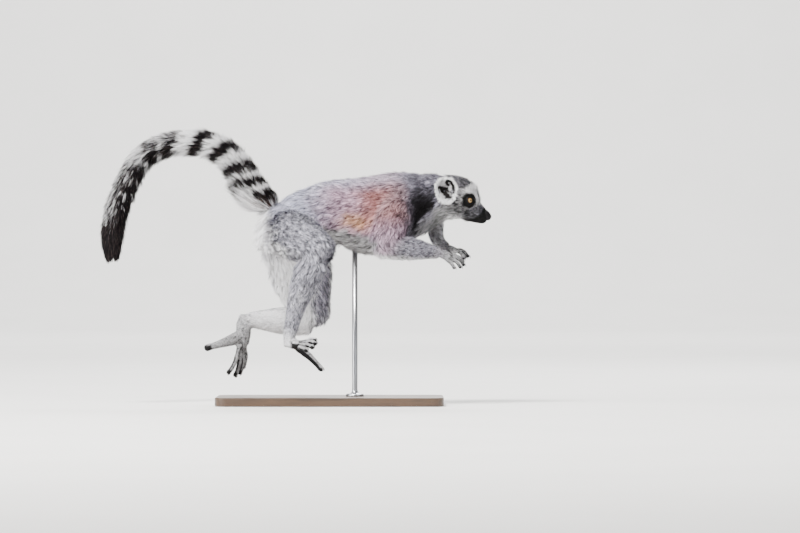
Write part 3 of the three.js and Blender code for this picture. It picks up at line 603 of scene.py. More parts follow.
def skin_shape():
    """(points, triangles) of the skin: the solids sealed into one, smoothed and drawn in under the coat."""
    mesh = remeshed(joined([swollen([*FLESH, "nose"], SEAL), crease_filler(), tail_core()]), SKIN_VOXEL)
    points, triangles = arrays_of(mesh)
    bpy.data.meshes.remove(mesh)
    smoother = Smoother(triangles, len(points))
    fields = part_fields(points)
    q = to_head(points)
    fine = np.maximum(sum_of(fields["weight"], PAWS), step(q[:, 0], 235, 252))[:, None]
    points = smoother.smooth(points, 5)
    for _ in range(30):
        points = points + 0.5 * (1 - fine) * (smoother.around(points) - points)
    depth = np.minimum(COAT_DEPTH * fields["length"], DEEPEST_COAT) * (1 - tail_share(points))
    depth = smoother.smooth(depth, 12)[:, 0] + SEAL
    crease = MOUTH_CREASE * hump(mouth_distance(q), 1.2) * (eye_distance(q) > 12)
    normals = vertex_normals(points, triangles)
    points = points - normals * (depth + crease - digit_pads(points, normals))[:, None]
    return decimated(ear_hollows(smoother.smooth(points, 2)), triangles)


def digit_pads(p, normals):
    """How far the digits swell out, most of all in the pads under their tips."""
    rise = np.zeros(len(p))
    for part, digits in DIGITS.items():
        palm = unit(np.array(PADS[part]["palm"]))
        swell, plump = PADS[part]["swell"], PADS[part]["plump"]
        near = np.linalg.norm(p - np.mean([digit[-1] for digit in digits], axis=0), axis=1) < 60
        gap = np.minimum.reduce([line_distance(p[near], digit[1:]) for digit in digits])
        rise[near] = np.maximum(rise[near], plump * (1 - step(gap, 8, 12)))
        for inner, tip in (np.array(digit[-2:], float) for digit in digits):
            pad = tip - unit(tip - inner) * PAD_BACK + palm * PAD_DOWN
            near = np.linalg.norm(p - pad, axis=1) < 12
            away = np.linalg.norm(p[near] - pad, axis=1)
            rise[near] += swell * hump(away, 2.6 + swell) * step(normals[near] @ palm, -0.5, 0.4)
    return rise


def ear_hollows(p):
    """The skin pushed in under the cup of each ear."""
    for hand in SIDES.values():
        centre, aim, forward, up = ear_frame(hand)
        offset = p - centre
        rise = offset @ aim
        spread = np.hypot(offset @ forward / EAR_HALF[0], offset @ up / EAR_HALF[1])
        push = np.clip(rise + EAR_DEPTH, 0, None) * (1 - step(spread, 0.62, 0.86)) * (rise < 12)
        p = p - aim * push[:, None]
    return p


def tail_share(p):
    """1 on the tail's core and 0 on the body."""
    near = near_tail(p)
    share = np.zeros(len(p))
    s, angle = place_on_tail(p[near])
    away = np.linalg.norm(p[near] - along_tail(TAIL_LINE, s), axis=1)
    below = 1 + table_at(HAIR_BELOW, s / TAIL_LENGTH) * ((1 - np.cos(angle)) / 2) ** 2
    share[near] = step(s, 5, 13) * (1 - step(away / (TAIL_CORE * tail_radius(s) * below), 1.25, 1.6))
    return share


def decimated(points, triangles):
    """The skin's points and triangles with fewer of them where it is smooth."""
    piece = mesh_from("skin_fine", points, triangles)
    modifier = piece.modifiers.new("decimate", "DECIMATE")
    modifier.ratio = min(1.0, SKIN_TRIANGLES / len(triangles))
    return arrays_of(evaluated(piece))


# ---------------------------------------------------------------- ears

def ear_frame(hand):
    """(centre of the rim, the way it faces, forward, up) of an ear, as it is placed on the turned head."""
    aim = unit(EAR_AIM * [1, hand, 1])
    forward = unit(np.cross([0, 0, 1], aim)) * -hand
    up = np.cross(aim, forward) * -hand
    centre = from_head(EAR_RIM_CENTRE * [1, hand, 1])
    return centre, *(from_head(way, vector=True) for way in (aim, forward, up))


def ear_shape(hand):
    """(points, triangles, ring, across) of one ear: a furred back, a rolled rim and a folded cup.

    ring is each point's share of the way from the ear's base over its rim to the bottom of the cup,
    and across is its place on the ear's face, forward and up from the middle, in shares of the rim.
    """
    sides, tiers = 96, 46
    centre, aim, forward, up = ear_frame(hand)
    angles = np.arange(sides) / sides * 2 * pi
    lobes = 1 + 0.03 * np.sin(3 * angles + 0.7) + 0.018 * np.sin(7 * angles)
    last = len(EAR_PROFILE) - 1
    shares, depths = np.array(EAR_PROFILE).T
    rings, ring, across = [], [], []
    for level in np.linspace(0, last, tiers):
        share = np.interp(level, np.arange(last + 1), shares)
        depth = np.interp(level, np.arange(last + 1), depths)
        cup = step(level, EAR_RIM + 1.5, EAR_RIM + 3)
        ridge = hump(share - 0.66 - 0.12 * np.sin(angles * 2 + 1), 0.09) * step(-np.cos(angles), -0.4, 0)
        knob = hump(share - 0.38, 0.09) * (0.5 + 0.5 * np.cos(angles * 3 - 0.6))
        lift = depth + cup * (3.2 * ridge + 2.2 * knob) + 1.3 * np.sin(2 * angles) * share
        place = np.stack([np.cos(angles), np.sin(angles)], -1) * share * lobes[:, None]
        rings.append(centre + aim * lift[:, None] + forward * place[:, :1] * EAR_HALF[0]
                     + up * place[:, 1:] * EAR_HALF[1])
        ring.append(np.full(sides, level / last))
        across.append(place)
    points = np.vstack(rings)
    quads = ring_faces(tiers, sides, closed=False)
    triangles = np.array([t for a, b, c, d in quads for t in ((a, b, c), (a, c, d))])
    back_ring = slice(9 * sides, 10 * sides)
    if (vertex_normals(points, triangles)[back_ring] * (points[back_ring] - centre)).sum() < 0:
        triangles = triangles[:, ::-1]
    return points, triangles, np.concatenate(ring), np.vstack(across)


# (share of the rim's size, height along the ear's aim), from the ear's base to the bottom of its cup
EAR_PROFILE = [
    (0.30, -17.0), (0.55, -14.5), (0.76, -10.5), (0.90, -6.0), (0.98, -1.8), (1.0, 0.6), (0.965, 1.5),
    (0.91, 1.2), (0.86, -0.4), (0.79, -3.4), (0.70, -5.6), (0.60, -6.4), (0.50, -7.6), (0.38, -9.2),
    (0.24, -10.6), (0.10, -11.2),
]
EAR_RIM = 6  # the rim's place in that list


def ear_fields(hand, ring, across):
    """(lie, length, density, colour) of the hair on an ear."""
    _, aim, forward, up = ear_frame(hand)
    rim = EAR_RIM / (len(EAR_PROFILE) - 1)
    outward = unit(forward * across[:, :1] + up * across[:, 1:])
    back, inside = ring < rim + 0.03, ring >= rim + 0.03
    low = step(-across[:, 1], 0.1, 0.75)
    lie = unit(outward * 0.95 + aim * (0.3 - 0.75 * low)[:, None])
    lie[inside] = unit(-outward[inside] * 0.2 + aim * 0.65 + up * 0.7)
    place = np.column_stack([across, np.zeros(len(ring))])
    place = place + 0.045 * np.stack([wobble(place, 0.35, seed) for seed in (51, 52, 53)], -1) * [1, 1, 0]
    dark = np.zeros(len(ring))
    for u0, v0, u1, v1, radius in EAR_SHADOWS:
        gap = line_distance(place, [(u0, v0, 0), (u1, v1, 0)])
        dark = np.maximum(dark, 1 - step(gap, 0.6 * radius, 1.25 * radius))
    dark = dark * inside
    # Painted shade: the inside of the cup is darker towards its middle.
    shade = 0.64 * hump(np.hypot(*across.T), 0.62) * inside
    near_rim = hump(ring - rim, 0.06)
    length = np.where(back, 6.5 + 2 * low, 3.0) + 1.2 * near_rim
    density = np.where(back, 2.6 + 5 * near_rim, 4.2 - 1.2 * dark)
    colour = np.tile(COLOUR["white"], (len(ring), 1)) * (1 - shade)[:, None]
    return lie, length, density, mix(colour, COLOUR["ear"] * 0.5, dark)


# The dark hollows inside an ear: (forward, up) at both ends and the radius, in shares of the rim.
EAR_SHADOWS = [
    (-0.74, 0.24, 0.24, 0.16, 0.15), (-0.22, 0.06, 0.30, -0.66, 0.35), (0.10, 0.68, 0.38, 0.48, 0.19),
    (0.10, 0.88, 0.55, 0.70, 0.08), (0.55, 0.70, 0.82, 0.25, 0.08), (0.82, 0.25, 0.84, -0.08, 0.12),
    (0.25, 0.0, 0.76, -0.27, 0.11), (-0.76, 0.1, -0.70, -0.35, 0.09),
]


# ---------------------------------------------------------------- markings, shared by skin and coat

def markings(p, normals, fields):
    """The coat's colour at points of the skin."""
    weight = fields["weight"]
    path = np.array(PARTS["torso"]["path"], float)[::-1]
    middle = np.interp(p[:, 0], path[:, 0], path[:, 2])
    radius = np.interp(p[:, 0], path[:, 0], path[:, 3])
    height = (p[:, 2] - middle) / radius
    rough = wobble(p, 26, 3)
    fine = wobble(p, 7, 4)
    x, z = p[:, 0] + 7 * rough, p[:, 2] + 4 * wobble(p, 20, 5)
    limbs = sum_of(weight, [n for n in LIMBS if n not in PAWS])
    arms = sum_of(weight, ["upper_arm_left", "upper_arm_right"])

    colour = np.tile(COLOUR["back"], (len(p), 1))
    colour = mix(colour, COLOUR["mid_back"], step(x, -50, 30) * (1 - 0.75 * step(height, 0.6, 1.0)))
    warm = step(x, 30, 90) * (1 - step(x, 136, 154)) * step(height, -0.65, -0.25)
    colour = mix(colour, COLOUR["rufous"], 0.85 * warm * (1 - 0.75 * step(height, 0.55, 0.95)))
    ochre = np.exp(-((x - 52) / 24) ** 2 - ((z - 340) / 13) ** 2)
    colour = mix(colour, COLOUR["ochre"], np.clip(0.9 * ochre, 0, 0.75) * (1 - limbs))
    colour = mix(colour, COLOUR["limb"], limbs * (1 - 0.85 * arms))
    colour = mix(colour, COLOUR["mid_back"], 0.6 * arms * (1 - step(z, 330, 360)))
    # Painted shade: the white belly fur, which hangs in shade under the flanks, is painted at under half of
    # white.
    shaded_belly = step(-height + 0.12 * rough, 0.42, 0.72) * (1 - limbs)
    colour = mix(colour, COLOUR["white"] * 0.45, shaded_belly)
    inward = step(-np.sign(p[:, 1]) * normals[:, 1] + 0.12 * rough, 0.1, 0.5)
    under = step(-normals[:, 2] - 0.35 * normals[:, 0] + 0.12 * rough, 0.3, 0.8)
    under = under * (1 - 0.8 * weight["thigh_right"] * step(x, -90, -68))
    colour = mix(colour, COLOUR["white"] * 0.95, np.maximum(inward, under) * limbs)
    colour = mix(colour, COLOUR["white"], rear_white(p, normals, rough) * (1 - sum_of(weight, PAWS)))
    # Painted shade, in part: the left thigh's front is grey and streaked instead of white.
    shaded_far_front = shaded_far_thigh_front(p, weight) * (1 - 0.85 * step(normals[:, 0], 0.7, 0.95))
    colour = mix(colour, COLOUR["neck_top"] * 2.5, 0.92 * shaded_far_front)
    shanks = sum_of(weight, ["shank_left", "shank_right"])
    colour = mix(colour, COLOUR["white"] * 0.85, 0.6 * shanks * step(p[:, 1], -30, 10))
    colour = colour * (1 - 0.24 * weight["forearm_right"])[:, None]
    fringe = sum_of(weight, ["forearm_left", "upper_arm_left"]) * step(normals[:, 0] + 0.2 * fine, 0.15, 0.6)
    colour = mix(colour, COLOUR["white"], 0.85 * fringe)
    colour = mix(colour, COLOUR["white"] * 0.92, sum_of(weight, PAWS) * (0.85 + 0.12 * fine))
    # Painted shade: the left foot and big toe are painted darker, as if in shadow.
    colour = colour * (1 - 0.52 * sum_of(weight, ["foot_left", "big_toe_left"]))[:, None]
    # Painted shade: the grooves between the digits are painted near black.
    colour = mix(colour, COLOUR["black"] * 5, 0.93 * digit_gap_shade(p, weight))
    colour = neck_markings(p, normals, colour, rough, limbs, height)
    colour = head_markings(p, colour, rough, fine)
    colour = mix(colour, COLOUR["black"] * 1.6, bare_pads(p, normals, weight))
    colour = mix(colour, tail_colours(p), tail_share(p))
    return np.clip(colour * (1 + 0.05 * fine)[:, None], 0.004, 0.92)


def rear_white(p, normals, rough):
    """The white hair of the rump, the inner thighs and the root of the tail."""
    rear = step(-p[:, 0] + 5 * rough, 96, 118) * step(-normals[:, 0], 0.05, 0.55)
    rear = rear * (1 - step(p[:, 2], 352, 384))
    root = 1 - step(np.linalg.norm(p - TAIL_ROOT, axis=1) + 4 * rough, 20, 34)
    return np.clip(rear + root * step(-p[:, 0], 100, 112), 0, 1)


def neck_markings(p, normals, colour, rough, limbs, height):
    """The grey of the neck, the black behind the ears and down before the shoulders (partly painted shade) and
    the white throat painted grey as shade.
    """
    x, z, side = p[:, 0] + 4 * rough, p[:, 2] + 5 * rough, np.abs(p[:, 1])
    colour = mix(colour, COLOUR["neck_top"] * 1.8, step(x, 116, 156) * (1 - 0.6 * limbs))
    top = step(x, 142, 176) * step(height, 0.15, 0.6) * (1 - step(p[:, 0], 228, 242))
    colour = mix(colour, COLOUR["neck_top"], 0.9 * top)
    throat = step(p[:, 0], 182, 198) * step(-normals[:, 2], 0.05, 0.6)
    chest = step(p[:, 0], 150, 170) * step(-normals[:, 2] + 0.1 * rough, 0.1, 0.6) * (1 - step(z, 345, 365))
    behind_cheek = step(p[:, 0] + 3 * rough, 188, 200) * (1 - step(p[:, 2] + 4 * rough, 362, 378))
    pale = np.maximum.reduce([throat, 0.9 * chest, behind_cheek]) * (1 - limbs)
    # Painted shade: the white fur of the throat, the chest and behind the cheeks is painted at a quarter of
    # white.
    colour = mix(colour, COLOUR["white"] * 0.25, pale)
    height_at, first, last, strength = np.array(NAPE, float).T
    start, end = np.interp(p[:, 2], height_at, first), np.interp(p[:, 2], height_at, last)
    # The black on the neck's sides is dark fur and painted shade together.
    nape_black_and_shade = step(x, start - 18, start + 9) * (1 - step(x, end - 5, end + 4)) * step(side, 12, 26)
    return mix(colour, COLOUR["nape_black_and_shade"], nape_black_and_shade * np.interp(p[:, 2], height_at, strength) * (1 - 0.2 * limbs))


# The black in this table is dark fur and painted shade together.
NAPE = [  # (height, where its black starts and ends along X, how black it is)
    (308, 158, 164, 0), (318, 157, 165, 0.9), (330, 153, 166, 1), (345, 151, 170, 1), (354, 149, 182, 1),
    (362, 149, 192, 1), (374, 150, 199, 1), (386, 152, 202, 0.94), (398, 153, 202, 0.68),
    (410, 156, 202, 0.22), (420, 158, 202, 0),
]


def bare_pads(p, normals, weight):
    """1 on the bare black skin of the palms, soles and the tips of the digits."""
    on_paw = sum_of(weight, PADS)
    bare = np.zeros(len(p))
    for part, pad in PADS.items():
        share = weight[part] / on_paw.clip(0.001)
        facing = normals @ unit(np.array(pad["palm"]))
        place = (p[:, 2] < pad["top"]) * step(p[:, 0], pad["rear"] - 3, pad["rear"] + 3)
        bare += share * place * step(facing, pad["edge"], pad["edge"] + 0.3)
    for part, pad in PADS.items():
        facing = normals @ unit(np.array(pad["palm"]))
        tips = np.min([np.linalg.norm(p - np.array(digit[-1]), axis=1) for digit in DIGITS[part]], axis=0)
        tip = (1 - step(tips, 0.75 * pad["tip"], 1.1 * pad["tip"])) * step(facing, -0.4, -0.05)
        bare = np.maximum(bare, tip * step(weight[part], 0.3, 0.6))
    return bare * step(on_paw, 0.5, 0.9)


def line_distance(p, line):
    """Each point's distance from a line of straight stretches."""
    line = np.array(line, float)
    gaps = []
    for a, b in zip(line[:-1], line[1:]):
        t = np.clip((p - a) @ (b - a) / ((b - a) @ (b - a)), 0, 1)
        gaps.append(np.linalg.norm(p - a - t[:, None] * (b - a), axis=1))
    return np.minimum.reduce(gaps)


def digit_gap_shade(p, weight):
    """1 in the grooves between neighbouring digits, where painted shade darkens them."""
    gaps = np.zeros(len(p))
    for part, digits in DIGITS.items():
        if len(digits) > 1:
            near = np.flatnonzero(weight[part] > 0.4)
            first, second = np.sort([line_distance(p[near], digit) for digit in digits], axis=0)[:2]
            between = (1 - step(second - first, 0.9, 3.4)) * (1 - step(first, 6, 9))
            gaps[near] = between * step(weight[part][near], 0.4, 0.7)
    return gaps


def head_markings(p, colour, rough, fine):
    """The face, in layers on white: cheeks, crown, grey muzzle, black lips, eye patches and small marks."""
    q = to_head(p)
    x, y, z = q[:, 0], np.abs(q[:, 1]), q[:, 2]
    face = np.tile(COLOUR["white"] * 0.97, (len(p), 1))
    # The cheeks are white fur painted grey, partly as painted shade; their dark specks come from the coat's
    # flecks.
    cheek = (1 - step(x + 3 * rough, 246, 260)) * step(y, 8, 20) * (1 - step(z, 388, 398))
    face = mix(face, COLOUR["white"] * 0.35, cheek)
    crown = step(z + 2.5 * rough - 0.7 * np.clip(x - 250, 0, 99), 390, 397)
    crown = crown * (1 - step(x + 2 * rough, 264, 271))
    face = mix(face, COLOUR["crown"], 0.95 * crown)
    temple = step(z + 2 * rough, 380, 391) * step(x, 234, 242) * (1 - step(x, 248, 258)) * step(y, 14, 22)
    face = mix(face, COLOUR["crown"] * 2, 0.6 * temple * (1 - crown))
    grey = step(x + 1.5 * fine, 236, 256) * (1 - step(z - 0.42 * (x - 270), 362, 377)) * step(y, 1, 6)
    face = mix(face, COLOUR["muzzle"] * (0.3 + 0.35 * step(z, 346, 358))[:, None], 0.96 * grey)
    # Painted highlight, in part: the top of the muzzle's bridge is lighter grey.
    bridge = step(x, 270, 278) * (1 - step(y, 3, 8)) * (1 - step(x, 286, 291))
    face = mix(face, COLOUR["muzzle"] * 1.6, 0.7 * bridge)
    near_nose = step(x, 274, 285) * step(y, 3, 7)
    face = mix(face, COLOUR["muzzle"] * 0.6, 0.8 * near_nose)
    under = np.interp(x, *np.array(LIP_BLACK, float).T)
    front = step(under - z + 0.7 * fine, -1.2, 1.2) * step(x, 244, 256)
    face = mix(face, COLOUR["black"], front)
    chin = step(x, 250, 262) * (1 - step(z, 336, 341))
    face = mix(face, COLOUR["muzzle"] * 0.4, 0.7 * chin * (1 - front))
    patch = eye_distance(q + [-0.5, 0, 1.5])
    face = mix(face, COLOUR["black"], 1 - step(patch + 0.8 * fine, 13.4, 16.6))
    tear = 1 - step(np.abs(x - 254 + 0.55 * (z - 362)), 2.5, 6)
    tear = tear * step(z, 350, 354) * (1 - step(z, 368, 373))
    face = mix(face, COLOUR["black"] * 3, 0.85 * tear * step(y, 11, 15))
    spot = np.exp(-(((x - 243) / 6) ** 2 + ((z - 359 + 0.3 * (x - 243)) / 2.6) ** 2)) * step(y, 10, 18)
    face = mix(face, COLOUR["crown"] * 0.2, np.clip(1.6 * spot, 0, 0.95))
    speck = np.exp(-(((x - 240) / 5) ** 2 + ((z - 376) / 11) ** 2)) * step(y, 20, 27)
    face = mix(face, COLOUR["crown"] * 0.4, np.clip(2.0 * speck * (0.5 + 0.9 * fine), 0, 0.92))
    return mix(colour, face, step(x + 2 * rough, 211, 224))


# Below this line, from the corner of the mouth up over the bridge of the nose, the muzzle is black.
LIP_BLACK = [(244, 340), (254, 343), (270, 345), (279, 350), (283, 355.5), (287, 363), (292, 374), (300, 400)]


def eye_distance(q):
    """Distance from the nearer eye's front, in the head's frame, stretched a little up and down."""
    offsets = [q - EYE_FRONT * [1, hand, 1] for hand in SIDES.values()]
    return np.minimum.reduce([np.linalg.norm(offset * [1.0, 0.9, 1.0], axis=1) for offset in offsets])


def ring_colours(s, angle, fine, clump_share, hair_share):
    """(colour, blackness) of tail hair that is rooted at s and angle.

    clump_share and hair_share are random shares for each clump and each hair. Past the middle of the tail
    the rings run together into black on the inner side of its curl, which is partly painted shade, and break
    into streaks on the outer side. The white rings carry dark streaks, more on the inner side as painted
    shade.
    """
    shown = s + RING_LEAD - 4 * (1 - step(s, 14, 44)) + 1.6 * fine
    wider = 2.6 + 1.6 * step(shown, 215, 260)
    band = np.maximum.reduce([ring_blackness(shown + shift) for shift in (-wider, 0, wider)])
    late = step(shown, 300, 400)
    outer_odds = band * (0.62 + 0.1 * late) + (1 - band) * (0.14 + 0.25 * late)
    inner_odds = band + (1 - band) * (0.42 + 0.45 * late)
    # Painted shade, in part: the inner side of the curl is drawn blacker, and the tip's black starts sooner
    # there.
    inner = step(-np.cos(angle), -0.6, 0.2)
    far = step(shown, 238, 268)
    # Dark streaks in the white rings: black hair, and more on the inner side as painted shade.
    streaks_and_shade = 0.06 + 0.1 * step(-np.cos(angle), -0.2, 0.8)
    odds = (band + (1 - band) * streaks_and_shade) * (1 - far) + far * (outer_odds * (1 - inner) + inner_odds * inner)
    odds = np.maximum(odds, 1.02 * step(shown - 14 * inner, 392, 466))
    test = np.where(hair_share < 0.5, clump_share, 2 * hair_share - 1)
    black = (test < odds).astype(float)
    white = COLOUR["tail_white"] * (1 - 0.65 * far * hair_share)[:, None]
    return mix(white, COLOUR["tail_black"], black), black


def tail_colours(p):
    """The colour of the skin under the tail's hair."""
    near = near_tail(p)
    colour = np.tile(COLOUR["tail_white"], (len(p), 1))
    s, angle = place_on_tail(p[near])
    half = np.full(len(s), 0.4)
    colour[near] = ring_colours(s, angle, np.zeros(len(s)), half, half)[0]
    return colour


# ---------------------------------------------------------------- tufts

PATCH = 0.0015  # half of a tuft's patch on the bake map
MAX_TRIANGLES = 190_000


class Coat:
    """Collects tufts and makes them into pieces of joined mesh."""

    def __init__(self):
        self.batches = []

    def add(self, spines, across, widths, colours, uv):
        """Blades: spines (n, k, 3), across (n, k, 3) unit, widths (n, k), colours (n, k, 3), uv (n, 2)."""
        self.batches.append((spines, across, widths, colours, uv))

    def pieces(self, name):
        made = []
        for spines, across, widths, colours, uv in self.batches:
            triangles_each = 2 * spines.shape[1] - 3
            parts = int(np.ceil(len(spines) * triangles_each / MAX_TRIANGLES))
            for part in np.array_split(np.arange(len(spines)), parts):
                title = f"{name}_{len(made) + 1}"
                made.append(blades(title, spines[part], across[part], widths[part], colours[part], uv[part]))
        return made


def blades(name, spines, across, widths, colours, uv):
    """One mesh of tapered blades, each a strip of quads that ends in a point."""
    count, places = spines.shape[:2]
    pairs = places - 1
    left = spines[:, :-1] - across[:, :-1] * widths[:, :-1, None] / 2
    right = spines[:, :-1] + across[:, :-1] * widths[:, :-1, None] / 2
    points = np.concatenate([np.stack([left, right], 2).reshape(count, 2 * pairs, 3), spines[:, -1:]], 1)
    each = 2 * pairs + 1
    corners, totals = [], []
    for k in range(pairs - 1):
        corners += [2 * k, 2 * k + 1, 2 * k + 3, 2 * k + 2]
        totals.append(4)
    corners += [2 * pairs - 2, 2 * pairs - 1, 2 * pairs]
    totals.append(3)
    loops = (np.array(corners)[None] + np.arange(count)[:, None] * each).ravel().astype(np.int32)
    sizes = np.tile(totals, count)
    starts = np.concatenate([[0], np.cumsum(sizes)[:-1]]).astype(np.int32)

    mesh = bpy.data.meshes.new(name)
    mesh.vertices.add(count * each)
    mesh.vertices.foreach_set("co", (points * MM).astype(np.float32).ravel())
    mesh.loops.add(len(loops))
    mesh.loops.foreach_set("vertex_index", loops)
    mesh.polygons.add(len(starts))
    mesh.polygons.foreach_set("loop_start", starts)
    mesh.polygons.foreach_set("use_smooth", np.ones(len(starts), bool))
    mesh.update(calc_edges=True)

    along = np.repeat(np.linspace(-1, 1, pairs, endpoint=False), 2)
    patch = np.stack([np.tile([-1, 1], pairs), along], -1)
    patch = np.vstack([patch, [0, 1]]) * PATCH
    where = uv[:, None] + patch[None]
    layer = mesh.uv_layers.new(name="OFBake")
    layer.uv.foreach_set("vector", where.reshape(-1, 2)[loops].astype(np.float32).ravel())
    shades = np.concatenate([np.repeat(colours[:, :-1], 2, axis=1), colours[:, -1:]], 1)
    paint(mesh, shades.reshape(-1, 3))
    return link(name, mesh)


def roots_on(surface, density, count, rng):
    """Random places on the skin: (corners of the triangle, shares of each, place on the bake map)."""
    points, triangles = surface["points"], surface["triangles"]
    a, b, c = (points[triangles[:, k]] for k in range(3))
    area = np.linalg.norm(np.cross(b - a, c - a), axis=1) / 2
    chance = area * surface[density][triangles].mean(1)
    chosen = np.searchsorted(np.cumsum(chance) / chance.sum(), (np.arange(count) + rng.random(count)) / count)
    chosen = np.minimum(chosen, len(triangles) - 1)
    u, v = rng.random(count), rng.random(count)
    flip = u + v > 1
    u[flip], v[flip] = 1 - u[flip], 1 - v[flip]
    shares = np.stack([1 - u - v, u, v], -1)
    uv = (surface["uv"][chosen] * shares[:, :, None]).sum(1)
    return triangles[chosen], shares, uv


def at_roots(values, corners, shares):
    """The skin's values at places given by their triangle's corners and the share of each."""
    picked = values[corners]
    return (picked * shares[:, :, None]).sum(1) if picked.ndim == 3 else (picked * shares).sum(1)


CLUMP_FROM = (3.2, 6.5, 11.0)  # the hair's length, in millimetres, at which its tufts bunch in larger clumps
CLUMP_SIZES = (1.4, 2.1, 3.0, 4.0)
CLUMPED_AS = 8.0  # the hair's length whose clumps the tail's hair and the dark flecks have


def clumps(root, length, rng):
    """The number of the clump that each tuft is in: cells that grow with the hair, shifted by a wobble."""
    level = np.digitize(length, CLUMP_FROM)
    keys = np.empty((len(root), 4), np.int64)
    for k, size in enumerate(CLUMP_SIZES):
        here = level == k
        shift = np.stack([wobble(root[here], 5 * size, seed) for seed in rng.integers(1, 999, 3)], -1) * size
        keys[here, :3] = np.floor((root[here] + shift) / size)
        keys[here, 3] = k
    return np.unique(keys @ CELL_PRIMES, return_inverse=True)[1]


CELL_PRIMES = np.array([73856093, 19349663, 83492791, 49979687])


def mean_by(index, values):
    """For each row, the mean of the rows that have the same index."""
    total = np.bincount(index)
    return np.stack([np.bincount(index, values[:, k]) / total for k in range(values.shape[1])], -1)[index]


def body_tufts(coat, surface, density, count, places, seed):
    """The hair of the body, head, limbs and ears, as blades of 3 places, or of 2 where it is short."""
    rng = np.random.default_rng(seed)
    corners, shares, uv = roots_on(surface, density, count, rng)
    keys = ("points", "normals", "lie", "length", "colour", "fluff", "fleck")
    at_root = [at_roots(surface[key], corners, shares) for key in keys]
    root, normal, lie, length, colour, fluff, fleck = at_root
    group = clumps(root, length, rng)
    groups = group.max() + 1

    def by_clump(spread):
        return rng.normal(0, spread, groups)[group]

    normal = unit(normal)
    lie = unit(lie - normal * (lie * normal).sum(-1, keepdims=True))
    sideways = np.cross(normal, lie)
    long_hair = step(length, 3, 9)
    length = length * rng.uniform(0.7, 1.15, count)
    length = length * (1 + by_clump(0.12) + fluff * by_clump(0.2)).clip(0.55, 1.5)
    swing = rng.normal(0, 0.13, count) + by_clump(0.13)
    swing = swing + 0.18 * wobble(root, 34, 11) + 0.1 * wobble(root, 14, 12)
    heading = unit(lie + sideways * swing[:, None])
    lift = HAIR_LIFT * (rng.uniform(0.75, 1.3, count) + by_clump(0.3)) + 0.06 * wobble(root, 16, 13)
    stray = (rng.random(count) < 0.1) * long_hair
    lift = lift * (1 + 1.3 * stray) + fluff * (rng.uniform(0.05, 0.55, count) + by_clump(0.2))
    lift = lift.clip(0.1, 1.3)
    stand = unit(heading + normal * (lift * 1.5)[:, None])
    settle = unit(heading + normal * (lift * 0.55)[:, None] + sideways * by_clump(0.17)[:, None])
    sunk = root - normal * np.minimum(0.5, 0.08 * length)[:, None]
    bend = sunk + stand * (length * 0.5)[:, None]
    tip = bend + settle * (length * 0.5)[:, None]
    pull = (0.42 * long_hair)[:, None]
    offset = mean_by(group, tip - root) - (tip - root) + 0.75 * (mean_by(group, root) - root)
    tip = tip + pull * offset
    bend = bend + 0.3 * pull * offset
    across = unit(np.cross(normal, heading) + normal * rng.normal(0, 0.4, count)[:, None])

    width = 0.17 + 0.036 * length
    pale = step(colour.mean(1), 0.5, 0.75) * (1 - step(fluff, 1.0, 1.4))
    base = colour * tuft_shades(colour, fleck, pale, root + heading * 2, by_clump, rng)[:, None]
    root_shade = (1 - (0.42 - 0.3 * pale) * long_hair)[:, None]
    if places == 3:
        spine, widths = [sunk, bend, tip], [width, width * 0.85, width * 0]
        hues = [base * root_shade, base * 0.97, base * 1.2]
    else:
        spine, widths = [sunk, tip], [width * 1.25, width * 0]
        hues = [base * 0.85, base * 1.1]
    coat.add(np.stack(spine, 1), np.repeat(across[:, None], places, axis=1), np.stack(widths, 1),
             np.clip(np.stack(hues, 1), 0.003, 0.93), uv)


def tuft_shades(colour, fleck, pale, place, by_clump, rng):
    """How light each tuft is beside the skin's colour: uneven, with dark flecks and frosted tips."""
    count = len(colour)
    shade = 1 + rng.normal(0, 0.13, count) * (1 - 0.6 * pale)
    shade = shade + by_clump(0.25).clip(-0.5, 0.6) * (1 - 0.7 * pale)
    shade = np.where(rng.random(count) < 0.2, shade * 1.4, shade)
    cell = clumps(place, np.full(count, CLUMPED_AS), rng)
    cell_share = rng.random(cell.max() + 1)[cell]
    dark_cell = (cell_share < fleck) & (rng.random(count) < 0.85)
    dark = dark_cell | (rng.random(count) < 0.35 * fleck)
    shade = np.where(dark, shade * rng.uniform(0.1, 0.4, count), shade)
    brightness = colour.mean(1)
    frosted = 0.32 * step(brightness, 0.015, 0.05) * (1 - step(brightness, 0.14, 0.22))
    return np.where((cell_share > 1 - frosted) & (rng.random(count) < 0.8), shade * 2.2, shade)


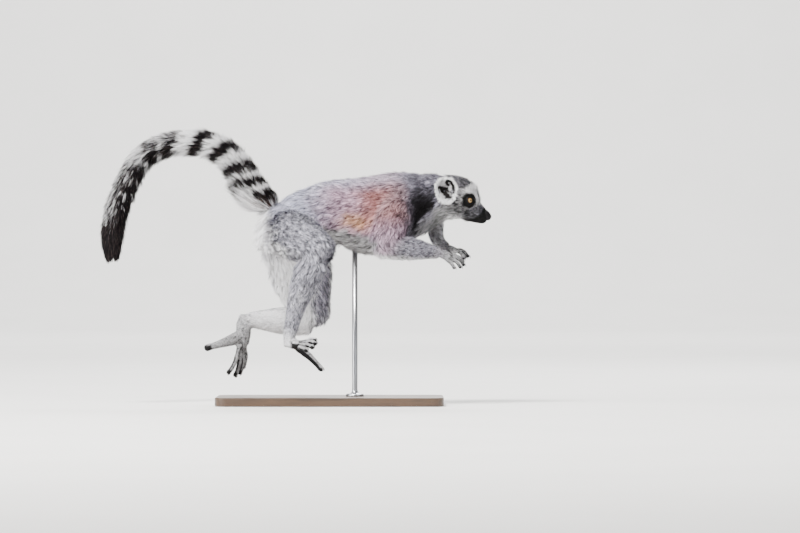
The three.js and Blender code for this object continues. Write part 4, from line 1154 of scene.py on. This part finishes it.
def tail_tufts(coat, surface, count, seed):
    """The long, spiky hair of the tail's rings."""
    rng = np.random.default_rng(seed)
    corners, shares, uv = roots_on(surface, "tail", count, rng)
    root = at_roots(surface["points"], corners, shares)
    s, angle = place_on_tail(root)
    group = clumps(root, np.full(count, CLUMPED_AS), rng)
    groups = group.max() + 1

    def by_clump(spread):
        return rng.normal(0, spread, groups)[group]

    loose = (1 - step(s, 15, 70)) * step(-np.cos(angle), -0.2, 0.6)
    spot = hump(np.linalg.norm((root - TAIL_SPOT) * [1, 0.4, 1], axis=1), 7)
    reach = TAIL_REACH * rng.uniform(0.8, 1.12, count) * (1 + by_clump(0.12))
    reach = reach * (1 + 0.8 * loose) * (1 - 0.5 * spot)
    out = rng.uniform(0.78, 1.0, count) + by_clump(0.07) * (1 + loose)
    ways = mean_by(group, np.stack([np.cos(angle), np.sin(angle), s], -1))
    turn = (np.arctan2(ways[:, 1], ways[:, 0]) - angle + pi) % (2 * pi) - pi
    turn = 0.8 * turn + rng.normal(0, 0.05, count) + by_clump(0.07)
    core = TAIL_CORE * tail_radius(s) - 0.8
    furthest = TAIL_FURTHEST + by_clump(4.5) - 8 * np.abs(rng.normal(0, 0.5, groups))[group]
    spine = []
    for t in (0.0, 0.45, 1.0):
        at = s + reach * t ** 1.2 + (ways[:, 2] - s) * 0.6 * t
        at = np.minimum(at, furthest - 2 * (1 - t))
        r = core + (out * tail_reach_out(at) - core) * (1 - (1 - t) ** 1.45)
        spine.append(on_tail(at, r, angle + turn * t))
    spine = np.stack(spine, 1)
    heading = unit(spine[:, -1] - spine[:, 0])
    normal = unit(spine[:, 1] - along_tail(TAIL_LINE, s))
    across = unit(np.cross(normal, heading) + normal * rng.normal(0, 0.45, count)[:, None])
    fine = by_clump(1.5) + 0.7 * rng.normal(0, 1, count)
    place = ways[:, 2] * 0.7 + s * 0.3
    colour, black = ring_colours(place, angle, fine, rng.random(groups)[group], rng.random(count))
    pale = (loose > 0.75) & (s < 26) & (rng.random(count) < 0.9)
    colour[pale] = COLOUR["tail_white"]
    colour = mix(colour, COLOUR["tail_rust"], 0.9 * (rng.random(count) < 0.75 * spot))
    colour = colour * (rng.normal(1, 0.12, count) + by_clump(0.13))[:, None]
    # Lighter brown-grey hairs in the black rings, partly a painted sheen, more of them near the tip.
    brown_and_sheen = (black > 0.5) & (rng.random(count) < 0.06 + 0.08 * step(s, 380, 470))
    colour[brown_and_sheen] += np.array([0.075, 0.056, 0.052]) * (1 - 0.45 * step(s[brown_and_sheen], 400, 480))[:, None]
    root_shade = np.where(black > 0.5, 0.8, 0.5)[:, None]
    hues = np.clip(np.stack([colour * root_shade, colour, colour * 1.08], 1), 0.003, 0.95)
    width = rng.uniform(0.7, 1.0, count)
    widths = np.stack([width, width * 0.85, width * 0], 1)
    coat.add(spine, np.repeat(across[:, None], 3, axis=1), widths, hues, uv)


def tail_reach_out(s):
    """How far out the tail's hair stands, with a blunt brush at its end."""
    brush = np.interp(s, [0, 455, 478, 495, 507, 522], [1, 1, 0.92, 0.82, 0.66, 0.42])
    return table_at(TAIL_HALF_WIDTH, s / TAIL_LENGTH) * brush


WHISKERS = [  # (x, y, z) of each root in the head's frame, and the way the whisker points
    ((282, 8.5, 352), (0.35, 0.9, -0.1)), ((279, 9.5, 350), (0.15, 0.95, -0.2)),
    ((276, 10.5, 353), (0.05, 0.98, 0.05)), ((275, 11, 349), (-0.1, 0.95, -0.3)),
    ((272, 12, 351), (-0.25, 0.95, -0.1)), ((280, 9, 355), (0.2, 0.95, 0.2)),
    ((270, 12.5, 347), (-0.3, 0.85, -0.45)), ((266, 16, 392), (0.45, 0.35, 0.8)),
    ((263, 19, 393), (0.2, 0.5, 0.85)), ((268, 13, 391), (0.6, 0.25, 0.75)),
]


def add_whiskers(coat, surface, seed):
    """The stiff dark hairs of the lips and brows."""
    rng = np.random.default_rng(seed)
    placed = np.array([np.array(whisker) * [1, hand, 1] for hand in SIDES.values() for whisker in WHISKERS])
    roots, ways = from_head(placed[:, 0]), from_head(unit(placed[:, 1]), vector=True)
    count = len(roots)
    nearest = np.array([np.argmin(((surface["points"] - root) ** 2).sum(1)) for root in roots])
    roots = surface["points"][nearest]
    corner = np.array([np.argmax((surface["triangles"] == k).any(1)) for k in nearest])
    length = rng.uniform(17, 27, count)[:, None]
    back = from_head(np.array([-1.0, 0, -0.25]), vector=True)
    droop = back * length * 0.28
    spine = np.stack([roots + ways * length * t + droop * t * t for t in (0, 0.35, 0.7, 1.0)], 1)
    across = unit(np.cross(ways, rng.normal(size=(count, 3))))
    widths = np.tile([0.34, 0.3, 0.2, 0.0], (count, 1))
    hues = np.tile(COLOUR["black"] * 1.5, (count, 4, 1))
    coat.add(spine, np.repeat(across[:, None], 4, axis=1), widths, hues, surface["uv"][corner].mean(1))


# ---------------------------------------------------------------- materials

def node_material(name):
    """(material, nodes, links, shader) of a new material."""
    material = bpy.data.materials.new(name)
    material.use_nodes = True
    tree = material.node_tree
    return material, tree.nodes, tree.links, tree.nodes["Principled BSDF"]


def noise_on(nodes, links, scale, detail=4.0, stretch=(1, 1, 1)):
    """A noise texture on the object's own coordinates, with scale in bumps per metre."""
    place = nodes.new("ShaderNodeTexCoord")
    mapping = nodes.new("ShaderNodeMapping")
    mapping.inputs["Scale"].default_value = stretch
    noise = nodes.new("ShaderNodeTexNoise")
    noise.inputs["Scale"].default_value = scale
    noise.inputs["Detail"].default_value = detail
    links.new(place.outputs["Object"], mapping.inputs["Vector"])
    links.new(mapping.outputs["Vector"], noise.inputs["Vector"])
    return noise


def tinted(nodes, links, shader, source, stops):
    """A ramp of colours over the source, as the shader's base colour."""
    ramp = nodes.new("ShaderNodeValToRGB")
    elements = ramp.color_ramp.elements
    while len(elements) < len(stops):
        elements.new(0.5)
    for element, (place, colour) in zip(elements, stops):
        element.position = place
        element.color = (*colour, 1)
    links.new(source, ramp.inputs["Fac"])
    links.new(ramp.outputs["Color"], shader.inputs["Base Color"])


SOCKETS = {
    "roughness": "Roughness", "metallic": "Metallic", "specular": "Specular IOR Level", "coat": "Coat Weight",
    "coat_roughness": "Coat Roughness",
}


def finish(shader, **values):
    """Sets the shader's own sockets."""
    for name, value in values.items():
        shader.inputs[SOCKETS[name]].default_value = value


def bump_from(nodes, links, shader, height, strength, distance):
    """A bump by the height, as deep as the distance in metres."""
    bump = nodes.new("ShaderNodeBump")
    bump.inputs["Strength"].default_value = strength
    bump.inputs["Distance"].default_value = distance
    links.new(height, bump.inputs["Height"])
    links.new(bump.outputs["Normal"], shader.inputs["Normal"])


def painted(nodes, links, shader, scale, low, high):
    """The Coat attribute times a fine noise, as the shader's base colour."""
    attribute = nodes.new("ShaderNodeAttribute")
    attribute.attribute_name = "Coat"
    noise = noise_on(nodes, links, scale)
    spread = nodes.new("ShaderNodeMapRange")
    spread.inputs["To Min"].default_value = low
    spread.inputs["To Max"].default_value = high
    links.new(noise.outputs["Fac"], spread.inputs["Value"])
    product = nodes.new("ShaderNodeMix")
    product.data_type = "RGBA"
    product.blend_type = "MULTIPLY"
    product.inputs["Factor"].default_value = 1.0
    links.new(attribute.outputs["Color"], product.inputs["A"])
    links.new(spread.outputs["Result"], product.inputs["B"])
    links.new(product.outputs["Result"], shader.inputs["Base Color"])
    return noise


def coat_material():
    material, nodes, links, shader = node_material("coat_hair")
    painted(nodes, links, shader, 700, 0.78, 1.22)
    finish(shader, roughness=0.6, specular=0.1)
    return material


def skin_material():
    material, nodes, links, shader = node_material("skin_under_coat")
    noise = painted(nodes, links, shader, 1500, 0.7, 1.1)
    bump_from(nodes, links, shader, noise.outputs["Fac"], 0.35, 0.0006)
    finish(shader, roughness=0.6, specular=0.12)
    return material


def leather_material(name, colour, roughness, coat):
    """Bare skin or horn with a fine grain of cells."""
    material, nodes, links, shader = node_material(name)
    place = nodes.new("ShaderNodeTexCoord")
    cells = nodes.new("ShaderNodeTexVoronoi")
    cells.inputs["Scale"].default_value = 2600
    links.new(place.outputs["Object"], cells.inputs["Vector"])
    noise = noise_on(nodes, links, 300)
    tinted(nodes, links, shader, noise.outputs["Fac"],
           [(0.3, tuple(c * 0.7 for c in colour)), (0.7, tuple(c * 1.5 for c in colour))])
    bump_from(nodes, links, shader, cells.outputs["Distance"], 0.4, 0.00018)
    finish(shader, roughness=roughness, specular=0.1, coat=coat, coat_roughness=0.3)
    return material


IRIS_RADIUS, PUPIL_RADIUS = 5.0, 1.5
RING_SWAY = 0.7  # how far the edges of the pupil and the iris wander


def eye_material():
    """Rings of colour by the Ring attribute, in centimetres: pupil, amber iris, dark edge and dark white."""
    material, nodes, links, shader = node_material("eye")
    ring = nodes.new("ShaderNodeAttribute")
    ring.attribute_name = "Ring"
    noise = noise_on(nodes, links, 900)
    sway = nodes.new("ShaderNodeMath")
    sway.operation = "MULTIPLY_ADD"
    links.new(noise.outputs["Fac"], sway.inputs[0])
    sway.inputs[1].default_value = RING_SWAY / 10
    links.new(ring.outputs["Fac"], sway.inputs[2])
    pupil, iris = ((radius + RING_SWAY / 2) / 10 for radius in (PUPIL_RADIUS, IRIS_RADIUS))
    tinted(nodes, links, shader, sway.outputs["Value"], [
        (0.0, (0.004, 0.004, 0.004)), (pupil - 0.01, (0.004, 0.004, 0.004)),
        (pupil + 0.02, (0.16, 0.08, 0.025)), (pupil + 0.08, (0.37, 0.27, 0.13)),
        (iris - 0.16, (0.28, 0.16, 0.05)), (iris - 0.08, (0.05, 0.024, 0.008)),
        (iris - 0.01, (0.004, 0.0035, 0.003)), (1.0, (0.012, 0.010, 0.008)),
    ])
    finish(shader, roughness=0.4, specular=0.1, coat=0.3, coat_roughness=0.03)
    return material


def wood_material():
    material, nodes, links, shader = node_material("stained_wood")
    grain = noise_on(nodes, links, 60, 8.0, (0.12, 1.4, 1.4))
    tinted(nodes, links, shader, grain.outputs["Fac"], [
        (0.30, (0.030, 0.017, 0.010)), (0.48, (0.075, 0.041, 0.022)), (0.62, (0.050, 0.027, 0.015)),
        (0.80, (0.105, 0.060, 0.032)),
    ])
    pores = noise_on(nodes, links, 900, 3.0, (0.05, 1, 1))
    bump_from(nodes, links, shader, pores.outputs["Fac"], 0.2, 0.0003)
    finish(shader, roughness=0.42, coat=0.25, coat_roughness=0.25)
    return material


def steel_material():
    material, nodes, links, shader = node_material("satin_steel")
    brushed = noise_on(nodes, links, 500, 6.0, (1, 1, 0.03))
    tinted(nodes, links, shader, brushed.outputs["Fac"],
           [(0.3, (0.46, 0.47, 0.49)), (0.7, (0.62, 0.63, 0.65))])
    bump_from(nodes, links, shader, brushed.outputs["Fac"], 0.1, 0.0001)
    finish(shader, metallic=1.0, roughness=0.3)
    return material


def stage_material():
    material, nodes, links, shader = node_material("pale_stage")
    noise = noise_on(nodes, links, 3)
    tinted(nodes, links, shader, noise.outputs["Fac"], [(0.3, (0.80, 0.79, 0.77)), (0.7, (0.83, 0.82, 0.80))])
    finish(shader, roughness=0.85)
    return material


# ---------------------------------------------------------------- pieces

def build_surface():
    """The skin with its ears, as one object, and the arrays that the coat grows from."""
    points, triangles = skin_shape()
    fields = part_fields(points)
    normals = vertex_normals(points, triangles)
    smoother = Smoother(triangles, len(points))
    tail = tail_share(points)
    root_thickness = 1 + 1.4 * hump(np.linalg.norm(points - TAIL_SPOT, axis=1), 34)
    colour = markings(points, normals, fields)
    bare = np.maximum(bare_places(points), bare_pads(points, normals, fields["weight"]))
    surface = {
        "points": points,
        "triangles": triangles,
        "normals": normals,
        "lie": smoother.smooth(hair_lie(normals, fields), 36),
        "colour": colour,
        "length": smoother.smooth(fields["length"], 8)[:, 0],
        "density": fields["density"] * (1 - tail) * (1 - bare) * (1 - under_ears(points)),
        "fluff": smoother.smooth(fields["fluff"], 8)[:, 0],
        "fleck": fleck_chance(points, fields, colour),
        "tail": tail * root_thickness,
    }
    for hand in SIDES.values():
        ear_points, ear_triangles, ring, across = ear_shape(hand)
        lie, length, density, ear_colour = ear_fields(hand, ring, across)
        ear = {
            "points": ear_points,
            "triangles": ear_triangles + len(surface["points"]),
            "normals": vertex_normals(ear_points, ear_triangles),
            "lie": lie,
            "colour": ear_colour,
            "length": length,
            "density": density,
            "fluff": np.zeros(len(ring)),
            "fleck": np.full(len(ring), 0.05),
            "tail": np.zeros(len(ring)),
        }
        surface = {key: np.concatenate([surface[key], ear[key]]) for key in ear}

    long_hair = step(surface["length"], 3.4, 5.0)
    surface["long"] = surface["density"] * long_hair
    surface["short"] = surface["density"] * (1 - long_hair)
    skin = mesh_from("skin", surface["points"], surface["triangles"])
    surface["uv"] = unwrapped(skin)
    # Painted shade: the skin under long hair is darker than the coat, as the shade deep within it.
    paint(skin.data, surface["colour"] * (1 - 0.3 * step(surface["length"], 3, 6))[:, None])
    return skin, surface


def hair_lie(normals, fields):
    """The lie of the hair: along each part, and drooping on the flanks."""
    lie = fields["lie"].copy()
    torso = fields["weight"]["torso"] + fields["weight"]["neck"]
    lie[:, 2] -= 0.35 * torso * (1 - np.abs(normals[:, 2]))
    return lie - normals * (lie * normals).sum(-1, keepdims=True)


def bare_places(p):
    """1 where the face is bare: round the eyes, on the lips and on the nose."""
    q = to_head(p)
    lids = step(eye_distance(q), 7.5, 8.5)
    lips = step(mouth_distance(q), 0.8, 1.6)
    nose = step(np.linalg.norm(q - NOSE_TIP + [4, 0, -1], axis=1), 8, 10)
    return 1 - lids * lips * nose


def under_ears(p):
    """1 on the skin that an ear's cup covers."""
    covered = np.zeros(len(p))
    for hand in SIDES.values():
        centre, aim, forward, up = ear_frame(hand)
        offset = p - centre
        spread = np.hypot(offset @ forward / EAR_HALF[0], offset @ up / EAR_HALF[1])
        covered = np.maximum(covered, (1 - step(spread, 0.8, 0.95)) * (np.abs(offset @ aim) < 20))
    return covered


def fleck_chance(p, fields, colour):
    """The share of dark flecks in the coat."""
    limbs = sum_of(fields["weight"], [n for n in LIMBS if n not in PAWS])
    brightness = colour.mean(1)
    grey = 1 - step(brightness, 0.58, 0.76)
    head = step(p[:, 0], 205, 225)
    cheek = head * step(brightness, 0.3, 0.42) * (1 - step(p[:, 0], 248, 258))
    chance = 0.02 + 0.02 * head + 0.34 * grey * limbs + 0.17 * grey * (1 - limbs) + 0.34 * cheek
    chance += 0.35 * step(fields["fluff"], 0.9, 1.5) + 0.15 * fields["weight"]["forearm_left"]
    return chance + 0.3 * shaded_far_thigh_front(p, fields["weight"])


def shaded_far_thigh_front(p, weight):
    """1 on the front of the left thigh, painted grey and streaked where its inner side would be white, partly
    as painted shade.
    """
    rough = wobble(p, 26, 3)
    low = 1 - step(p[:, 2] + 4 * wobble(p, 20, 5), 262, 296)
    return weight["thigh_left"] * step(p[:, 0] + 4 * rough, -44, -24) * low


def unwrapped(skin):
    """Gives the skin its bake map and returns each triangle's three places on it."""
    bpy.context.view_layer.objects.active = skin
    skin.select_set(True)
    skin.data.uv_layers.new(name="OFBake")
    bpy.ops.object.mode_set(mode="EDIT")
    bpy.ops.mesh.select_all(action="SELECT")
    bpy.ops.uv.smart_project(angle_limit=radians(70), island_margin=0.002)
    bpy.ops.object.mode_set(mode="OBJECT")
    skin.select_set(False)
    uv = np.empty(len(skin.data.loops) * 2, np.float32)
    skin.data.uv_layers["OFBake"].uv.foreach_get("vector", uv)
    return uv.reshape(-1, 3, 2).astype(float)


def add_nose(material):
    """The bare nose: the solid's own shape, swollen to meet the lips and made round and smooth."""
    points, triangles = arrays_of(remeshed(swollen(["nose"], NOSE_SWELL), NOSE_VOXEL))
    points = Smoother(triangles, len(points)).smooth(points, 9)
    nose = mesh_from("nose_skin", points, triangles)
    dress(nose, material, "nose_leather", "nose")


def dress(piece, material, slot, *nodes):
    """Gives the piece its material and lets it stand for the nodes. The slot is not used."""
    piece.data.materials.append(material)
    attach(piece, "root")
    if nodes:
        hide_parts(*nodes)


def add_claws(material):
    """A small curved nail on the back of each digit's tip."""
    claws = bmesh.new()
    for part, digits in DIGITS.items():
        palm = unit(np.array(PADS[part]["palm"]))
        proud = CLAW_HEIGHT + PADS[part]["plump"]
        for inner, tip in (np.array(digit[-2:], float) for digit in digits):
            along = unit(tip - inner)
            back = -unit(palm - along * (palm @ along))
            wide = np.cross(along, back)
            placed = len(claws.verts)
            bmesh.ops.create_cone(claws, cap_ends=True, segments=10, radius1=1, radius2=1, depth=1)
            sides = [edge for edge in claws.edges if abs(edge.verts[0].co.z - edge.verts[1].co.z) > 0.5]
            bmesh.ops.subdivide_edges(claws, edges=sides, cuts=6)
            for v in list(claws.verts)[placed:]:
                t, angle = v.co.z + 0.5, atan2(v.co.y, v.co.x)
                half = CLAW_HALF_WIDTH * (1 - 0.75 * t ** 2.5)
                thick = CLAW_THICKNESS * (1 - 0.55 * t)
                height = proud + 0.3 * t - 2.6 * t ** 2.2 + thick * (sin(angle) + 0.45 * sin(angle) ** 2)
                out = along * (CLAW_LENGTH * t - CLAW_BACK) + wide * cos(angle) * half + back * height
                v.co = (tip + out) * MM
    bmesh.ops.recalc_face_normals(claws, faces=claws.faces)
    dress(meshed("claws", claws), material, "nose_leather")


CLAW_LENGTH, CLAW_HALF_WIDTH, CLAW_THICKNESS = 6.0, 1.9, 0.7
CLAW_BACK = 3.4  # how far behind the digit's tip it starts
CLAW_HEIGHT = 2.9  # over the digit's middle line


def aim_matrix(centre, aim):
    """The place of a piece that is made round the Z axis, turned to face along aim."""
    turn = Vector(aim).to_track_quat("Z", "Y").to_matrix().to_4x4()
    return Matrix.Translation(centre) @ turn


EYE_AXIS = Vector((0, 0, 1))
CORNEA_RISE, CORNEA_EDGE = 0.75, radians(42)
EYE_INSET = 0.15  # how far the white of the eye lies inside the solid
LID_PROFILE = [  # (degrees from the eye's aim, height over the eyeball), out over the lid and back under it
    (38, -0.3), (39, 0.25), (42, 0.75), (47, 1.05), (54, 1.15), (64, 1.25), (76, 1.2), (90, 0.6), (100, -0.6),
    (100, -2), (38, -2), (38, -0.3),
]


def add_eye(name, hand, material, lid_material):
    """An eyeball with a domed cornea, and the bare lids that ring it."""
    low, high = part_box("eye_" + name)
    radius = (high.z - low.z) / 2 / MM
    aim = from_head(unit(EYE_AIM * [1, hand, 1]), vector=True)
    place = aim_matrix((low + high) / 2, aim)
    ball = bmesh.new()
    bmesh.ops.create_uvsphere(ball, u_segments=64, v_segments=56, radius=radius * MM)
    for v in ball.verts:
        dome = CORNEA_RISE * max(0.0, 1 - (v.co.angle(EYE_AXIS) / CORNEA_EDGE) ** 2)
        v.co *= (radius - EYE_INSET + dome) / radius
    rings = [100 * hypot(v.co.x, v.co.y) for v in ball.verts]
    bmesh.ops.transform(ball, matrix=place, verts=ball.verts)
    eye = meshed("eyeball_" + name, ball)
    eye.data.attributes.new("Ring", "FLOAT", "POINT").data.foreach_set("value", rings)
    dress(eye, material, "eye_amber", "eye_" + name)

    profile = [((radius + lift) * sin(radians(polar)), (radius + lift) * cos(radians(polar)))
               for polar, lift in LID_PROFILE]
    lids = turned(profile, 64)
    for v in lids.verts:
        polar, around = v.co.angle(EYE_AXIS), atan2(v.co.y, v.co.x)
        polar *= 1 - 0.10 * abs(sin(around)) ** 1.5 * (1 if polar < radians(60) else 0.4)
        ray = Vector((cos(around) * sin(polar), sin(around) * sin(polar), cos(polar)))
        v.co = ray * v.co.length
    bmesh.ops.transform(lids, matrix=place, verts=lids.verts)
    dress(meshed("lids_" + name, lids), lid_material, "nose_leather")


def add_stand(wood, steel):
    """A board with rounded corners and softened edges, and a turned steel rod on a screwed flange."""
    low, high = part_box("stand_base")
    board = bmesh.new()
    bmesh.ops.create_cube(board, size=1)
    bmesh.ops.scale(board, vec=high - low, verts=board.verts)
    bmesh.ops.translate(board, vec=(low + high) / 2, verts=board.verts)
    upright = [edge for edge in board.edges if abs(edge.verts[0].co.z - edge.verts[1].co.z) > MM]
    bmesh.ops.bevel(board, geom=upright, offset=BOARD_CORNER * MM, segments=8, profile=0.5,
                    affect="EDGES", material=-1)
    board.normal_update()
    rims = [edge for edge in board.edges if len({round(face.normal.z) for face in edge.link_faces}) > 1]
    bmesh.ops.bevel(board, geom=rims, offset=BOARD_EDGE * MM, segments=3, profile=0.5,
                    affect="EDGES", material=-1)
    dress(meshed("display_base", board, smooth=False), wood, "base_wood", "stand_base")

    low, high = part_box("stand_rod")
    foot, tip = low.z / MM, high.z / MM
    profile = [(radius, foot + height) for radius, height in FLANGE] + [(ROD_RADIUS, tip), (0, tip)]
    rod = turned(profile, 48, ((low.x + high.x) / 2, (low.y + high.y) / 2, 0))
    dress(meshed("display_rod", rod), steel, "rod_steel", "stand_rod")


BOARD_CORNER, BOARD_EDGE = 24, 2
ROD_RADIUS = 5
FLANGE = [  # (radius, height over the board), from under its middle up to the rod
    (0, 0), (16.6, 0), (17, 0.6), (16.6, 3.4), (15, 4.6), (9.5, 5), (7, 6.5), (5.6, 9), (ROD_RADIUS, 13),
]


# ---------------------------------------------------------------- camera, floor and light

def add_camera():
    """A long lens, level, from the animal's right side."""
    data = bpy.data.cameras.new("camera")
    data.lens = 200
    data.sensor_width = 36
    data.clip_end = 60
    camera = bpy.data.objects.new("camera", data)
    camera.location = CAMERA_PLACE
    camera.rotation_euler = (pi / 2, 0, 0)
    bpy.context.scene.collection.objects.link(camera)
    bpy.context.scene.camera = camera


CAMERA_PLACE = (0.1295, -8.222, 0.2562)  # in metres, as the stage and the lights are
STAGE_NEAR, STAGE_BEND, STAGE_RADIUS = -13.0, 9.5, 3.5  # its near edge, and where and how it curves up
STAGE_HALF_LENGTH, STAGE_HALF_WIDTH = 17, 15
STAGE_DROP = 0.0003  # below the stand's foot, so that the two don't share a plane


def add_stage(material):
    """A pale floor that curves up into a backdrop, further off than any view of the animal is taken from."""
    floor = bmesh.new()
    bmesh.ops.create_grid(floor, x_segments=1, y_segments=120, size=1)
    for v in floor.verts:
        along = STAGE_NEAR + (v.co.y + 1) * STAGE_HALF_LENGTH - STAGE_BEND
        angle = min(max(along / STAGE_RADIUS, 0), pi / 2)
        rise = max(along - STAGE_RADIUS * pi / 2, 0)
        y = STAGE_BEND + min(along, 0) + STAGE_RADIUS * sin(angle)
        z = STAGE_RADIUS * (1 - cos(angle)) + rise - STAGE_DROP
        v.co = (v.co.x * STAGE_HALF_WIDTH, y, z)
    stage = meshed("stage_floor", floor)
    stage.data.materials.append(material)


def add_light(name, place, size, power, colour=(1, 1, 1), target=(-0.03, 0, 0.3)):
    """A soft round lamp at place, aimed at the target."""
    data = bpy.data.lights.new(name, "AREA")
    data.shape = "DISK"
    data.size = size
    data.energy = power
    data.color = colour
    light = bpy.data.objects.new(name, data)
    light.location = place
    aim = Vector(target) - Vector(place)
    light.rotation_euler = aim.to_track_quat("-Z", "Y").to_euler()
    bpy.context.scene.collection.objects.link(light)


def add_lights():
    """Key and fills on the camera's side, a rim light behind, the backdrop's own lamp and a pale world."""
    add_light("key", (-1.3, -2.5, 4.0), 1.3, 640, (1.0, 0.985, 0.96))
    add_light("fill", (3.2, -3.2, 1.8), 2.4, 30, (0.96, 0.98, 1.0))
    add_light("rear_fill", (-3.4, -2.0, 1.7), 2.0, 170, (0.98, 0.99, 1.0))
    add_light("rim", (0.8, 2.6, 3.2), 2.0, 200)
    add_light("backdrop_light", (0, 6.5, 7.0), 5.0, 1500, (1, 1, 1), (0, 11.0, 0.6))
    world = bpy.data.worlds.new("studio")
    world.use_nodes = True
    background = world.node_tree.nodes["Background"]
    background.inputs["Color"].default_value = (0.95, 0.97, 1.0, 1)
    background.inputs["Strength"].default_value = 0.24
    bpy.context.scene.world = world


# ---------------------------------------------------------------- the scene

LONG_TUFTS = 300_000
SHORT_TUFTS = 220_000
TAIL_TUFTS = 95_000

add_camera()
add_stage(stage_material())
add_lights()

skin, surface = build_surface()
dress(skin, skin_material(), "fur_pale", *FLESH, *TAIL_NODES, "ear_left", "ear_right")

coat = Coat()
share = 1.0
body_tufts(coat, surface, "long", int(LONG_TUFTS * share), 3, 5)
body_tufts(coat, surface, "short", int(SHORT_TUFTS * share), 2, 7)
tail_tufts(coat, surface, int(TAIL_TUFTS * share), 6)
add_whiskers(coat, surface, 8)
hair = coat_material()
for piece in coat.pieces("coat"):
    dress(piece, hair, "fur_pale")

black_leather = leather_material("nose_leather", (0.0035, 0.003, 0.0035), 0.45, 0.06)
add_nose(black_leather)
lid_leather = leather_material("lid_skin", (0.003, 0.0028, 0.003), 0.7, 0.03)
amber = eye_material()
for name, hand in SIDES.items():
    add_eye(name, hand, amber, lid_leather)
add_claws(leather_material("claw", (0.02, 0.017, 0.016), 0.32, 0.3))
add_stand(wood_material(), steel_material())
